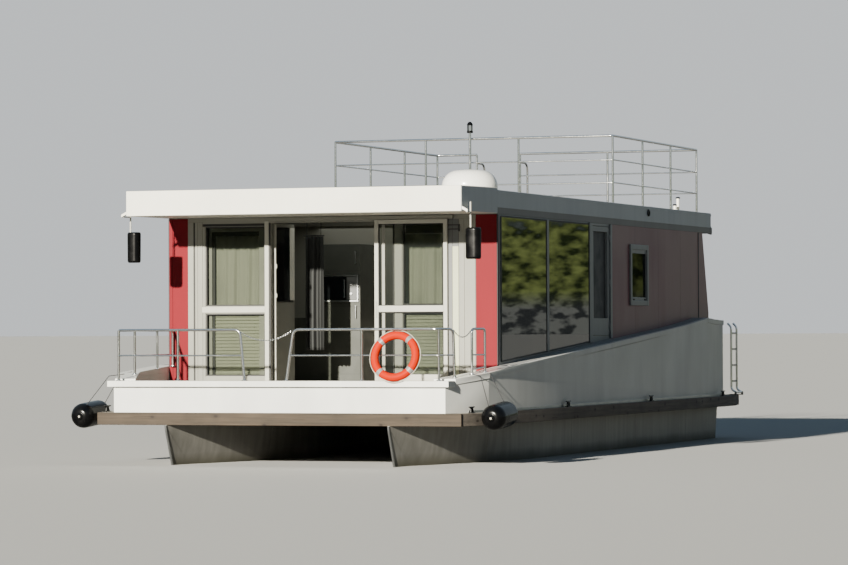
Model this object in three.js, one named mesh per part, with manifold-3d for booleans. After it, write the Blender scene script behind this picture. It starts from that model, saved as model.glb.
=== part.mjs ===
// Flat-roofed catamaran houseboat: two steel pontoons, a bridge deck edged with timber, a white
// bulwark that rises towards the stern, a glazed cabin and a flat roof with a railed sun deck.
// Millimetres, +Z up, bow towards -Y, port side towards +X.
// In the tables below y counts aft from the face of the bow board, and z counts up from the
// water. The boat group at the end moves both to the part's own frame.
import * as THREE from 'three';
import { mergeVertices } from 'three/addons/utils/BufferGeometryUtils.js';
import Module from 'manifold-3d';

const wasm = await Module();
wasm.setup();

// Driving dimensions
const draft = 500;              // hull bottom below the water
const deckUnder = 535;          // underside of the bridge deck and of the timber
const deckTop = 700;            // top of the bridge deck and of the timber
const floorTop = 1050;          // cabin floor, fore deck and aft deck
const wallTop = 3323;           // underside of the ceiling
const ceilingTop = 3420;
const roofTop = 3650;
const roofFrontTop = 3660;      // the front part of the roof stands a little higher
const timber = 50;              // thickness of the edge timbers
const cabinHalf = 2394;         // outer half width of the cabin
const wall = 60;                // cabin wall thickness
const frontWall = 1982;         // y of the cabin's front face
const rearWall = 12020;         // y where the rear wall starts
const bulwarkHalf = 2633;       // widest half width of the bulwark
const rimThick = 75;            // thickness of the rim on the bulwark
const tubeR = 17;               // railing tube radius
const touch = 0.3;              // gap kept between faces that meet at an angle

const finishes = {
  whitePaint: { color: 0xe9ebe8, roughness: 0.35, metalness: 0 },
  greyPaint: { color: 0x8e908f, roughness: 0.5, metalness: 0 },
  hullMetal: { color: 0x77756c, roughness: 0.45, metalness: 0.6 },
  agedTimber: { color: 0x8d7b66, roughness: 0.9, metalness: 0 },
  deckBoards: { color: 0x7c6f60, roughness: 0.85, metalness: 0 },
  redPanel: { color: 0xb5453f, roughness: 0.4, metalness: 0 },
  darkPanel: { color: 0x5c4038, roughness: 0.55, metalness: 0 },
  glass: { color: 0x26302e, roughness: 0.05, metalness: 0 },
  stainless: { color: 0xb9bcc0, roughness: 0.2, metalness: 1 },
  blackRubber: { color: 0x141517, roughness: 0.35, metalness: 0 },
  orangeShell: { color: 0xe8501c, roughness: 0.45, metalness: 0 },
  greyLaminate: { color: 0x9a9c9a, roughness: 0.35, metalness: 0 },
  blackMetal: { color: 0x1c1e20, roughness: 0.4, metalness: 0.4 },
  curtainCloth: { color: 0xc9cfc0, roughness: 0.9, metalness: 0 },
};

const boat = new THREE.Group();

function add(name, geometry, finish) {
  const mesh = new THREE.Mesh(geometry, new THREE.MeshStandardMaterial(finishes[finish]));
  mesh.name = name;
  boat.add(mesh);
  return mesh;
}

// Solids: every helper returns a closed geometry in boat coordinates

function block(x0, x1, y0, y1, z0, z1) {
  const geometry = new THREE.BoxGeometry(x1 - x0, y1 - y0, z1 - z0);
  return geometry.translate((x0 + x1) / 2, (y0 + y1) / 2, (z0 + z1) / 2);
}

function prism(points, depth) {
  const shape = new THREE.Shape(points.map(([a, b]) => new THREE.Vector2(a, b)));
  return new THREE.ExtrudeGeometry(shape, { depth, bevelEnabled: false, curveSegments: 8 });
}

// Outline in plan, [x, y], raised from z0 to z1
function planPrism(points, z0, z1) {
  return prism(points, z1 - z0).translate(0, 0, z0);
}

// Outline seen from the side, [y, z], from x0 to x1
function sidePrism(points, x0, x1) {
  const turn = new THREE.Matrix4().makeBasis(
    new THREE.Vector3(0, 1, 0), new THREE.Vector3(0, 0, 1), new THREE.Vector3(1, 0, 0));
  return prism(points, x1 - x0).applyMatrix4(turn).translate(x0, 0, 0);
}

// Outline seen from ahead, [x, z], from y0 to y1
function frontPrism(points, y0, y1) {
  const turn = new THREE.Matrix4().makeBasis(
    new THREE.Vector3(1, 0, 0), new THREE.Vector3(0, 0, 1), new THREE.Vector3(0, -1, 0));
  return prism(points, y1 - y0).applyMatrix4(turn).translate(0, y1, 0);
}

// Round bar between two points
function bar(from, to, radius = tubeR, sides = 8) {
  const a = new THREE.Vector3(...from);
  const b = new THREE.Vector3(...to);
  const geometry = new THREE.CylinderGeometry(radius, radius, a.distanceTo(b), sides);
  const turn = new THREE.Quaternion().setFromUnitVectors(
    new THREE.Vector3(0, 1, 0), b.clone().sub(a).normalize());
  const middle = a.add(b).multiplyScalar(0.5);
  return geometry.applyQuaternion(turn).translate(middle.x, middle.y, middle.z);
}

function ball(centre, radius, sides = 8) {
  return new THREE.SphereGeometry(radius, sides, sides / 2).translate(...centre);
}

function toSolid(geometry) {
  const plain = geometry.clone();
  plain.deleteAttribute('normal');
  plain.deleteAttribute('uv');
  const merged = mergeVertices(plain, 1e-3);
  return new wasm.Manifold(new wasm.Mesh({
    numProp: 3,
    vertProperties: new Float32Array(merged.attributes.position.array),
    triVerts: new Uint32Array(merged.index.array),
  }));
}

function toGeometry(solid) {
  const mesh = solid.getMesh();
  const geometry = new THREE.BufferGeometry();
  geometry.setAttribute('position', new THREE.BufferAttribute(mesh.vertProperties, 3));
  geometry.setIndex(new THREE.BufferAttribute(mesh.triVerts, 1));
  return geometry;
}

function join(...pieces) {
  return toGeometry(pieces.map(toSolid).reduce((a, b) => a.add(b)));
}

function cut(piece, ...tools) {
  return toGeometry(tools.map(toSolid).reduce((a, b) => a.subtract(b), toSolid(piece)));
}

function common(a, b) {
  return toGeometry(toSolid(a).intersect(toSolid(b)));
}

// Port half outline [x, y] with its mirror image, closed
function bothSides(points) {
  return [...points, ...points.map(([x, y]) => [-x, y]).reverse()];
}

// Points of a route whose corners are rounded by an arc-like curve that starts `bend` from each
function roundedRoute(points, bend, steps = 3) {
  const route = [points[0]];
  points.slice(1, -1).forEach((corner, i) => {
    const c = new THREE.Vector3(...corner);
    const before = new THREE.Vector3(...points[i]).sub(c).setLength(bend).add(c);
    const after = new THREE.Vector3(...points[i + 2]).sub(c).setLength(bend).add(c);
    const curve = new THREE.QuadraticBezierCurve3(before, c, after);
    curve.getPoints(steps).forEach((p) => route.push(p.toArray()));
  });
  return [...route, points[points.length - 1]];
}

// A route of bars with a ball at each bend
function bentTube(points, radius = tubeR, bend = 0) {
  const route = bend ? roundedRoute(points, bend) : points;
  const pieces = [];
  route.slice(1).forEach((point, i) => pieces.push(bar(route[i], point, radius)));
  route.slice(1, -1).forEach((point) => pieces.push(ball(point, radius)));
  return pieces;
}

const mirrored = (points) => points.map(([x, ...rest]) => [-x, ...rest]);

// Pontoons
// columns: y and half breadth at the deck, y, half breadth and z at the chine,
// y, half breadth and z at the keel
const pontoonCentre = 1570;
const pontoonSections = [
  [0, 14, 20, 14, 480, 430, 14, -500],
  [1000, 330, 1000, 270, 150, 1250, 110, -500],
  [2200, 640, 2200, 560, -40, 2400, 300, -500],
  [3400, 780, 3400, 760, -230, 3500, 480, -500],
  [13270, 780, 13150, 760, -260, 13080, 520, -500],
];

function pontoon(centre) {
  const positions = [];
  const ring = 6;
  for (const [dy, dh, cy, ch, cz, ky, kh, kz] of pontoonSections) {
    positions.push(
      centre + dh, dy, deckUnder, centre - dh, dy, deckUnder,
      centre - ch, cy, cz, centre - kh, ky, kz,
      centre + kh, ky, kz, centre + ch, cy, cz);
  }
  const index = [];
  const last = (pontoonSections.length - 1) * ring;
  for (let s = 0; s < last; s += ring) {
    for (let i = 0; i < ring; i += 1) {
      const a = s + i;
      const b = s + (i + 1) % ring;
      index.push(a, a + ring, b, b, a + ring, b + ring);
    }
  }
  for (let i = 1; i < ring - 1; i += 1) {
    index.push(0, i, i + 1);
    index.push(last, last + i + 1, last + i);
  }
  const geometry = new THREE.BufferGeometry();
  geometry.setAttribute('position', new THREE.Float32BufferAttribute(positions, 3));
  geometry.setIndex(index);
  return geometry;
}

add('hull_port', pontoon(pontoonCentre), 'hullMetal');
add('hull_starboard', pontoon(-pontoonCentre), 'hullMetal');

// Bridge deck and its timber edge, port half outlines [x, y]
const platformBow = 2567;
const platformHalf = 2740;
const platformAft = 13600;
const timberOuter = [[2567, timber], [platformHalf, 560], [platformHalf, 13000], [2630, 13550]];
const timberInner = [[2517, timber], [2690, 570], [2690, 12995], [2580, 13550]];

// Boarding ladder: its pivot lugs are part of the deck
const swim = { y: [13160, 13500], pivotX: 2700, pivotZ: 745, stileX: 2620, top: 1870 };
const lugs = [[swim.y[0] - 44, swim.y[0] - 30 - touch], [swim.y[1] + 30 + touch, swim.y[1] + 44]];
const deckEdge = timberInner.map(([x, y]) => [x - touch, y]);
add('bridge_deck', join(planPrism(bothSides(deckEdge), deckUnder, deckTop),
  ...lugs.flatMap(([y0, y1]) => [
    block(2480, 2570, y0, y1, deckTop - 1, deckTop + 14),
    block(2560, swim.pivotX + 18, y0, y1, deckTop, deckTop + 14),
    block(swim.pivotX - 18, swim.pivotX + 18, y0, y1, deckTop + 1, swim.pivotZ + 16)])),
'deckBoards');
add('timber_bow', block(-platformBow, platformBow, 0, timber, deckUnder, deckTop), 'agedTimber');
add('timber_port',
  planPrism([...timberOuter, ...[...timberInner].reverse()], deckUnder, deckTop), 'agedTimber');
add('timber_starboard',
  planPrism([...mirrored(timberOuter), ...mirrored(timberInner).reverse()].reverse(),
    deckUnder, deckTop), 'agedTimber');
add('timber_stern', block(-2630, 2630, 13550, platformAft, deckUnder, deckTop), 'agedTimber');

// Deck block inside the bulwark: fore deck, cabin floor and aft deck
const bulwarkInner = [[2112, 237], [cabinHalf, 1000], [cabinHalf, 12630], [2330, 13010]];
const bulwarkOuter = [[2338, 37], [bulwarkHalf, 920], [bulwarkHalf, 11820], [2500, 13090]];
const baseEdge = bulwarkInner.map(([x, y]) => [x - touch, y]);
add('deck_base', planPrism(bothSides(baseEdge), deckTop, floorTop), 'deckBoards');

// Bulwark and rim: rings in plan cut to the side profile
// columns: y, z of the rim's top
const rimLine = [
  [-40, 1119], [240, 1145], [900, 1218], [1600, 1272], [4000, 1425], [6000, 1547], [8000, 1675],
  [10200, 1825], [11400, 1928], [11650, 1953], [12400, 1925], [13300, 1915],
];

function rimHeight(y) {
  const i = rimLine.findIndex(([py]) => py > y);
  const [y0, z0] = rimLine[i - 1];
  const [y1, z1] = rimLine[i];
  return z0 + (z1 - z0) * (y - y0) / (y1 - y0);
}

const apronTop = 1042;
const bulwarkLine = rimLine.slice(1).map(([y, z]) => [y, z - rimThick - touch]);
const bulwarkProfile = [
  [-100, deckTop], [13300, deckTop], ...[...bulwarkLine].reverse(), [240, apronTop], [-100, apronTop]];
const bulwarkRing = cut(
  planPrism(bothSides(bulwarkOuter), deckTop, 2100),
  planPrism(bothSides(bulwarkInner), deckTop - 10, 2110));
add('bulwark', common(bulwarkRing, sidePrism(bulwarkProfile, -2800, 2800)), 'whitePaint');

const rimStart = 230;             // the sloping rim starts here, under the flat rim across the bow
const rimOuter = [[2411, rimStart], [2648, 915], [2648, 11825], [2513, 13104]];
const rimInner = [[2112, rimStart], ...bulwarkInner.slice(1).map(([x, y]) => [x + touch, y])];
const slopingRim = [[rimStart, rimHeight(rimStart)], ...rimLine.slice(1)];
const rimProfile = [...slopingRim, ...[...slopingRim].reverse().map(([y, z]) => [y, z - rimThick])];
const rimRing = cut(
  planPrism(bothSides(rimOuter), deckTop, 2100),
  planPrism(bothSides(rimInner), deckTop - 10, 2110));
const rimStrip = sidePrism(rimProfile, -2800, 2800);
const rimBow = 1119;              // top of the rim across the bow
const rimCap = block(-2405, 2405, -32, 237, apronTop, rimBow);
add('deck_rim', join(common(rimRing, rimStrip), rimCap), 'whitePaint');

// Front wall: red corner panels, a white frame with two fixed lights, a wide doorway
const doorHead = 3250;
const frontOuter = frontWall + wall;
add('front_panel_port', block(2090, cabinHalf, frontWall, frontOuter, floorTop, wallTop), 'redPanel');
add('front_panel_starboard',
  block(-cabinHalf, -2110, frontWall, frontOuter, floorTop, wallTop), 'redPanel');
const doorway = [-880, 905];      // x of the doorway's edges
const lights = [[-1856, -960], [1034, 1634]];   // x of the fixed lights' edges
const railBand = [2020, 2110];    // z of the mid rail
const lightFoot = 1150;
const lightHead = 3215;
const frontCuts = lights.flatMap(([x0, x1]) => [
  block(x0, x1, frontWall - 10, frontOuter + 10, lightFoot, railBand[0]),
  block(x0, x1, frontWall - 10, frontOuter + 10, railBand[1], lightHead),
]);
const frontFrame = cut(
  block(-2110, 2090, frontWall, frontOuter, floorTop, wallTop), ...frontCuts,
  block(doorway[0], doorway[1], frontWall - 10, frontOuter + 10, floorTop + 20, doorHead));
// The panes of the fixed lights stand behind the frame's mid rail
const paneThick = 12;
['starboard', 'port'].forEach((side, i) => add(`front_glass_${side}`,
  block(lights[i][0] - 20, lights[i][1] + 20, frontOuter, frontOuter + paneThick,
    lightFoot - 20, lightHead + 20), 'glass'));

// Sliding leaf ahead of the frame, parked over the port light on two feet in a floor track
const leafThick = 40;
const slideFront = frontWall - 52;   // its front face; the pane at its back clears the frame
const leafFoot = floorTop + 30;
const leafHead = doorHead + 20;
const slideLeaf = [646, 1684];    // x of the leaf's edges as parked
const stile = 60;

// Leaf in a plane across the boat: x from x0 to x1, y from y0, two lights and a mid rail
function leafAcross(x0, x1, y0) {
  const back = y0 + leafThick;
  return cut(
    block(x0, x1, y0, back, leafFoot, leafHead),
    block(x0 + stile, x1 - stile, y0 - 5, back + 5, leafFoot + 100, railBand[0]),
    block(x0 + stile, x1 - stile, y0 - 5, back + 5, railBand[1], leafHead - stile));
}

const footSpan = 90;
add('sliding_leaf', join(
  leafAcross(slideLeaf[0], slideLeaf[1], slideFront),
  ...[slideLeaf[0] + stile, slideLeaf[1] - stile].map((x) => block(
    x - footSpan / 2, x + footSpan / 2, slideFront + 8, slideFront + 32,
    floorTop + touch, leafFoot + 5))), 'whitePaint');
add('sliding_glass', block(slideLeaf[0] + stile - 20, slideLeaf[1] - stile + 20,
  slideFront + leafThick, slideFront + leafThick + 6, leafFoot + 80, leafHead - stile + 20), 'glass');
const headTrack = block(-870, 1780, slideFront - 8, frontWall + 5, leafHead + 6, wallTop);

// Hinged leaf, standing open into the cabin on the starboard side of the doorway
const hingeX = -894;
const hingeY = frontOuter + 34;
const hingeLeafLength = 750;
const hingeBarrel = 11;
const leafKnuckles = [1400, 2200, 3000];
const leafGlassFoot = 2190;
const hingedParts = cut(
  block(hingeX - 14, hingeX + 26, hingeY + 14, hingeY + hingeLeafLength, leafFoot, leafHead - 20),
  block(hingeX - 30, hingeX + 40, hingeY + 84, hingeY + hingeLeafLength - stile,
    leafGlassFoot, leafHead - 90),
  block(hingeX - 30, hingeX + 10, hingeY + 84, hingeY + hingeLeafLength - stile,
    leafFoot + 100, leafGlassFoot - 80));
add('hinged_leaf', join(hingedParts, ...leafKnuckles.flatMap((z) => [
  bar([hingeX, hingeY, z], [hingeX, hingeY, z + 90], hingeBarrel),
  block(hingeX - 3, hingeX + 3, hingeY, hingeY + 20, z, z + 90)])), 'whitePaint');
add('hinged_glass', block(hingeX + 26, hingeX + 32, hingeY + 64, hingeY + hingeLeafLength - 50,
  leafGlassFoot - 20, leafHead - 70), 'glass');
add('front_frame', join(frontFrame, headTrack,
  ...leafKnuckles.flatMap((z) => [
    bar([hingeX, hingeY, z - 40], [hingeX, hingeY, z - touch], hingeBarrel),
    block(hingeX - 3, hingeX + 3, frontOuter - 5, hingeY, z - 40, z - touch)])), 'whitePaint');

// Side walls: a glazed frame with a side door, then a clad panel with a small window
const sill = 60;                  // the glazing starts this far over the rim
const sillLine = (y) => rimHeight(y) + sill;
const lightTop = 3285;
const sideLights = [[2130, 4085], [4185, 6065]];
const sidePane = 10;              // thickness of the bonded side glass
const paneLap = 20;               // how far it laps over the frame
const sideDoor = [6245, 7110];
const doorFoot = 1685;
const panelStart = 7200;
const smallWindow = [8220, 9050, 2190, 3000];   // y from and to, z from and to

function sideCut(y0, y1, z0, z1, top, out) {
  const inner = out - wall * Math.sign(out);
  const [a, b] = [Math.min(inner, out) - 10, Math.max(inner, out) + 10];
  return sidePrism([[y0, z0], [y1, z1], [y1, top], [y0, top]], a, b);
}

for (const [side, sign] of [['port', 1], ['starboard', -1]]) {
  const out = sign * cabinHalf;
  const inside = sign * (cabinHalf - wall);
  const [a, b] = [Math.min(out, inside), Math.max(out, inside)];
  const sideFrame = cut(
    block(a, b, frontOuter, panelStart, floorTop, wallTop),
    ...sideLights.map(([y0, y1]) => sideCut(y0, y1, sillLine(y0), sillLine(y1), lightTop, out)),
    sideCut(sideDoor[0], sideDoor[1], doorFoot, doorFoot, lightTop, out));
  // One pane bonded over both lights
  const [paneFore, paneAft] = [sideLights[0][0] - paneLap, sideLights[1][1] + paneLap];
  add(`side_glass_${side}`, sidePrism([[paneFore, sillLine(paneFore) - paneLap],
    [paneAft, sillLine(paneAft) - paneLap], [paneAft, lightTop + paneLap],
    [paneFore, lightTop + paneLap]], Math.min(out, out + sign * sidePane),
  Math.max(out, out + sign * sidePane)), 'glass');
  add(`side_panel_${side}`, cut(
    block(a, b, panelStart, rearWall, floorTop, wallTop),
    block(a - 10, b + 10, smallWindow[0], smallWindow[1], smallWindow[2], smallWindow[3])),
  'darkPanel');
  // Side door: hinged at its aft edge, opening outwards above the rim
  const doorOut = sign * (cabinHalf + 2);
  const doorIn = sign * (cabinHalf - 36);
  const hinge = [sign * (cabinHalf + 14), sideDoor[1] - 6];
  const leaf = cut(
    block(Math.min(doorIn, doorOut), Math.max(doorIn, doorOut),
      sideDoor[0] + 6, sideDoor[1] - 18, doorFoot + 6, lightTop - 6),
    block(Math.min(doorIn, doorOut) - 10, Math.max(doorIn, doorOut) + 10,
      sideDoor[0] + 80, sideDoor[1] - 92, 1940, lightTop - 80));
  const knuckles = [1800, 2450, 3100];
  add(`side_door_${side}`, join(leaf, ...knuckles.flatMap((z) => [
    bar([hinge[0], hinge[1], z], [hinge[0], hinge[1], z + 60], 9),
    block(Math.min(sign * (cabinHalf - 4), hinge[0]), Math.max(sign * (cabinHalf - 4), hinge[0]),
      sideDoor[1] - 30, sideDoor[1] - 8, z, z + 60)])), 'greyPaint');
  add(`side_door_glass_${side}`, block(
    Math.min(doorIn, doorIn - sign * 6), Math.max(doorIn, doorIn - sign * 6),
    sideDoor[0] + 60, sideDoor[1] - 72, 1920, lightTop - 60), 'glass');
  add(`side_frame_${side}`, join(sideFrame, ...knuckles.flatMap((z) => [
    bar([hinge[0], hinge[1], z - 40], [hinge[0], hinge[1], z - touch], 9),
    block(Math.min(out - sign * 5, hinge[0]), Math.max(out - sign * 5, hinge[0]),
      hinge[1], hinge[1] + 40, z - 40, z - touch)])), 'greyPaint');
}

// Rear wall between wedge-shaped fins, with a hinged door on to the aft deck
const finTop = 230;
const finFoot = 590;
const rearDoor = [300, 1100];     // x of the doorway
const rearOut = rearWall + wall;
const rearHead = 3120;
const fin = (x0, x1) => sidePrism([[rearWall, floorTop], [rearWall + finFoot, floorTop],
  [rearWall + finFoot, 2040], [rearWall + finTop, wallTop], [rearWall, wallTop]], x0, x1);
const rearHinge = [rearDoor[1] + 14, rearOut + 16];
const rearKnuckles = [1300, 2150, 2950];
add('rear_wall', join(
  cut(block(-cabinHalf, cabinHalf, rearWall, rearOut, floorTop, wallTop),
    block(rearDoor[0], rearDoor[1], rearWall - 10, rearOut + 10, floorTop + 20, rearHead),
    block(-1700, -700, rearWall - 10, rearOut + 10, 2000, 2900)),
  fin(cabinHalf - wall, cabinHalf), fin(-cabinHalf, wall - cabinHalf),
  ...rearKnuckles.flatMap((z) => [
    bar([...rearHinge, z - 50], [...rearHinge, z - touch], 10),
    block(rearHinge[0], rearHinge[0] + 50, rearOut - 5, rearOut + 16, z - 50, z - touch)])),
'whitePaint');
add('rear_door', join(
  cut(block(rearDoor[0] + 8, rearDoor[1] - 8, rearOut - 30, rearOut + 10, floorTop + 28, rearHead - 8),
    block(rearDoor[0] + 110, rearDoor[1] - 110, rearOut - 40, rearOut + 20, 2050, rearHead - 110)),
  ...rearKnuckles.flatMap((z) => [
    bar([...rearHinge, z], [...rearHinge, z + 70], 10),
    block(rearDoor[1] - 40, rearHinge[0], rearOut + 8, rearOut + 16, z, z + 70)])), 'whitePaint');
add('rear_door_glass', block(rearDoor[0] + 90, rearDoor[1] - 90, rearOut - 36, rearOut - 30,
  2030, rearHead - 90), 'glass');

// Roof, flush with the cabin's sides: a ceiling band, a slab over it, and ahead of the front wall
// a taller canopy that narrows a little
const roofFront = 546;
const roofAft = 12760;
const roofHalf = 2400;
const canopyHalf = 2387;
const bandLap = 70;               // how far the band reaches past the slab at the stern
add('ceiling_band', planPrism(bothSides([[roofHalf, frontWall], [roofHalf, roofAft + bandLap]]),
  wallTop, ceilingTop), 'greyPaint');
add('roof_slab', planPrism(bothSides([[roofHalf, frontWall], [roofHalf, roofAft]]),
  ceilingTop, roofTop), 'whitePaint');
add('roof_front', planPrism(bothSides([[canopyHalf, roofFront], [roofHalf, frontWall]]),
  wallTop, roofFrontTop), 'whitePaint');

// Railing of the sun deck: a box of tubes with a gap for the ladder at the stern
const deckRailHalf = 2230;
const deckRail = [7880, 12550];
const deckRailTop = 4670;
const deckRailLevels = [3970, 4310, deckRailTop];
const ladderGap = [-1530, -780];
const thirds = (a, b) => [a, a + (b - a) / 3, b - (b - a) / 3, b];
const sunPosts = [
  ...thirds(-deckRailHalf, deckRailHalf).map((x) => [x, deckRail[0]]),
  ...thirds(...deckRail).slice(1).flatMap((y) => [[-deckRailHalf, y], [deckRailHalf, y]]),
  ...[ladderGap[0], ladderGap[1], 720].map((x) => [x, deckRail[1]]),
];
add('roof_railing', join(
  ...sunPosts.map(([x, y]) => bar([x, y, roofTop], [x, y, deckRailTop])),
  ...deckRailLevels.flatMap((z) => [
    bar([-deckRailHalf, deckRail[0], z], [deckRailHalf, deckRail[0], z]),
    ...[-1, 1].map((s) => bar([s * deckRailHalf, deckRail[0], z], [s * deckRailHalf, deckRail[1], z])),
    bar([-deckRailHalf, deckRail[1], z], [ladderGap[0], deckRail[1], z]),
    bar([ladderGap[1], deckRail[1], z], [deckRailHalf, deckRail[1], z])]),
  ...[-1, 1].flatMap((s) => deckRail.map((y) => ball([s * deckRailHalf, y, deckRailTop], tubeR)))),
'stainless');

// Ladder from the aft deck to the sun deck, its stiles bent over to the railing's stern posts
const ladderY = 12930;
const ladderTop = 4530;
const ladderTie = 3540;           // z of the ties to the roof's aft edge
const rungs = Array.from({ length: 9 }, (_, i) => floorTop + 260 + i * 280);
add('roof_ladder', join(
  ...ladderGap.flatMap((x) => bentTube([
    [x, ladderY, floorTop], [x, ladderY, ladderTop],
    [x, deckRail[1] + tubeR + touch, ladderTop]], tubeR, 150)),
  ...rungs.map((z) => bar([ladderGap[0], ladderY, z], [ladderGap[1], ladderY, z], 14)),
  ...ladderGap.map((x) => bar([x, roofAft + touch, ladderTie], [x, ladderY, ladderTie], 12))),
'stainless');

// Dome and light mast on the roof
// The dome has an upright foot, an arc round its shoulder and a flat top
const dome = { x: 1497, y: 3450, radius: 400, height: 350, shoulder: 220, crown: 12 };
const shoulderSteps = 5;
const domeProfile = [new THREE.Vector2(0, 0), new THREE.Vector2(dome.radius, 0)];
for (let i = 0; i <= shoulderSteps; i += 1) {
  const turn = i / shoulderSteps * Math.PI / 2;
  domeProfile.push(new THREE.Vector2(
    dome.radius - dome.shoulder * (1 - Math.cos(turn)),
    dome.height - dome.crown - dome.shoulder * (1 - Math.sin(turn))));
}
domeProfile.push(new THREE.Vector2(0, dome.height));
add('roof_dome', new THREE.LatheGeometry(domeProfile, 24).rotateX(Math.PI / 2)
  .translate(dome.x, dome.y, roofTop), 'whitePaint');
const mast = { x: 0, y: 7790, top: 4926 };
add('light_mast', join(
  bar([mast.x, mast.y, roofTop], [mast.x, mast.y, mast.top - 20], 20),
  new THREE.CylinderGeometry(45, 45, 110, 12).rotateX(Math.PI / 2)
    .translate(mast.x, mast.y, mast.top - 115),
  ball([mast.x, mast.y, mast.top - 30], 30)), 'stainless');

// Bow rails on the rim
const railTop = 1790;
const railMid = 1460;
const bowRailY = 95;
const railBend = 80;
const sideRim = (y) => rimHeight(y) + 2;  // clears the slope under a tube
const starboardCorner = [-2300, bowRailY];
const starboardPosts = [690, 1430];   // y of the uprights along the side
add('bow_rail_starboard', join(
  ...bentTube([[-482, bowRailY, rimBow + 2.6], [-545, bowRailY, railTop], [...starboardCorner, railTop],
    [-2330, starboardPosts[0], railTop], [-2330, 1950, railTop], [-2330, 1950, sideRim(1950)]],
  tubeR, railBend),
  ...bentTube([[-512, bowRailY, railMid], [...starboardCorner, railMid],
    [-2330, starboardPosts[0], railMid], [-2330, 1950, railMid]]),
  bar([...starboardCorner, rimBow], [...starboardCorner, railTop]),
  bar([-1433, bowRailY, rimBow], [-1433, bowRailY, railTop]),
  ...starboardPosts.map((y) => bar([-2330, y, sideRim(y)], [-2330, y, railTop]))), 'stainless');
const portCorner = [2231, bowRailY];
add('bow_rail_port', join(
  ...bentTube([[113, bowRailY, rimBow + 2.6], [215, bowRailY, railTop], [...portCorner, railTop],
    [2350, 320, railTop], [2370, 320, sideRim(320)]], tubeR, railBend),
  ...bentTube([[165, bowRailY, railMid], [...portCorner, railMid], [2360, 320, railMid]]),
  bar([...portCorner, rimBow], [...portCorner, railTop]),
  bar([1170, bowRailY, rimBow], [1170, bowRailY, railTop])), 'stainless');
const gateRail = [[2477, 690], [2563, 960]];
add('gate_rail_port', join(
  ...bentTube([[...gateRail[0], sideRim(690)], [...gateRail[0], railTop],
    [...gateRail[1], railTop], [...gateRail[1], sideRim(960)]]),
  bar([...gateRail[0], railMid], [...gateRail[1], railMid])), 'stainless');

// Lifebuoy leaning on the bow rail
const buoy = { x: 1660, y: 17, z: 1438.3, radius: 281, tube: 53, tilt: 0.26 };
add('lifebuoy', new THREE.TorusGeometry(buoy.radius, buoy.tube, 8, 24)
  .rotateX(Math.PI / 2 - buoy.tilt).translate(buoy.x, buoy.y, buoy.z), 'orangeShell');

// Barrel fenders against the edge timbers at the bow quarters, their after ends a little up
const fender = { y: 530, z: 665, radius: 170, half: 370, tilt: 0.073 };
const fenderProfile = [[0, -1], [0.45, -0.97], [0.8, -0.82], [0.97, -0.6], [1, -0.4], [1, 0.4],
  [0.97, 0.6], [0.8, 0.82], [0.45, 0.97], [0, 1]].map(([r, z]) => new THREE.Vector2(
  r * fender.radius, z * fender.half));
for (const [side, sign] of [['port', 1], ['starboard', -1]]) {
  add(`fender_${side}`, new THREE.LatheGeometry(fenderProfile, 20).rotateX(fender.tilt)
    .translate(sign * (platformHalf + fender.radius + touch), fender.y, fender.z), 'blackRubber');
}

// Rear-view mirrors: each hangs on a rod beside the canopy, held by a sloping arm at its corner
const mirrorRod = { x: 2432, y: 790, top: 3450 };
const mirrorArm = { foot: canopyHalf + 1.2, tip: 2468, fore: 560, aft: 610 };
const mirrorCase = { fore: 750, aft: 840, bottom: 2700, top: 3118 };
const mirrorPlan = [['port', 1, 2366, 2578], ['starboard', -1, -2476, -2284]];
for (const [side, sign, from, to] of mirrorPlan) {
  const arm = frontPrism([[mirrorArm.foot, 3345], [mirrorArm.tip, 3292], [mirrorArm.tip, 3318],
    [mirrorArm.foot, 3384]].map(([x, z]) => [sign * x, z]), mirrorArm.fore, mirrorArm.aft);
  add(`mirror_${side}`, join(arm,
    bar([sign * 2446, mirrorArm.aft - 15, 3317], [sign * mirrorRod.x, mirrorRod.y, 3317], 8),
    bar([sign * mirrorRod.x, mirrorRod.y, mirrorCase.top - 10],
      [sign * mirrorRod.x, mirrorRod.y, mirrorRod.top], 12),
    block(from, to, mirrorCase.fore, mirrorCase.aft, mirrorCase.bottom, mirrorCase.top)),
  'blackMetal');
}

// Boarding ladder on the port quarter, folded up; it swings outboard to hang over the side
add('boarding_ladder', join(
  ...swim.y.flatMap((y) => bentTube([[swim.pivotX, y, swim.pivotZ], [swim.stileX, y, swim.pivotZ + 50],
    [swim.stileX, y, swim.top - 60], [swim.stileX - 60, y, swim.top]])),
  ...[0, 1, 2, 3].map((i) => bar([swim.stileX, swim.y[0], swim.pivotZ + 180 + i * 260],
    [swim.stileX, swim.y[1], swim.pivotZ + 180 + i * 260], 14)),
  bar([swim.pivotX, swim.y[0] - 30, swim.pivotZ], [swim.pivotX, swim.y[1] + 30, swim.pivotZ], 14)),
'stainless');

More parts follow.
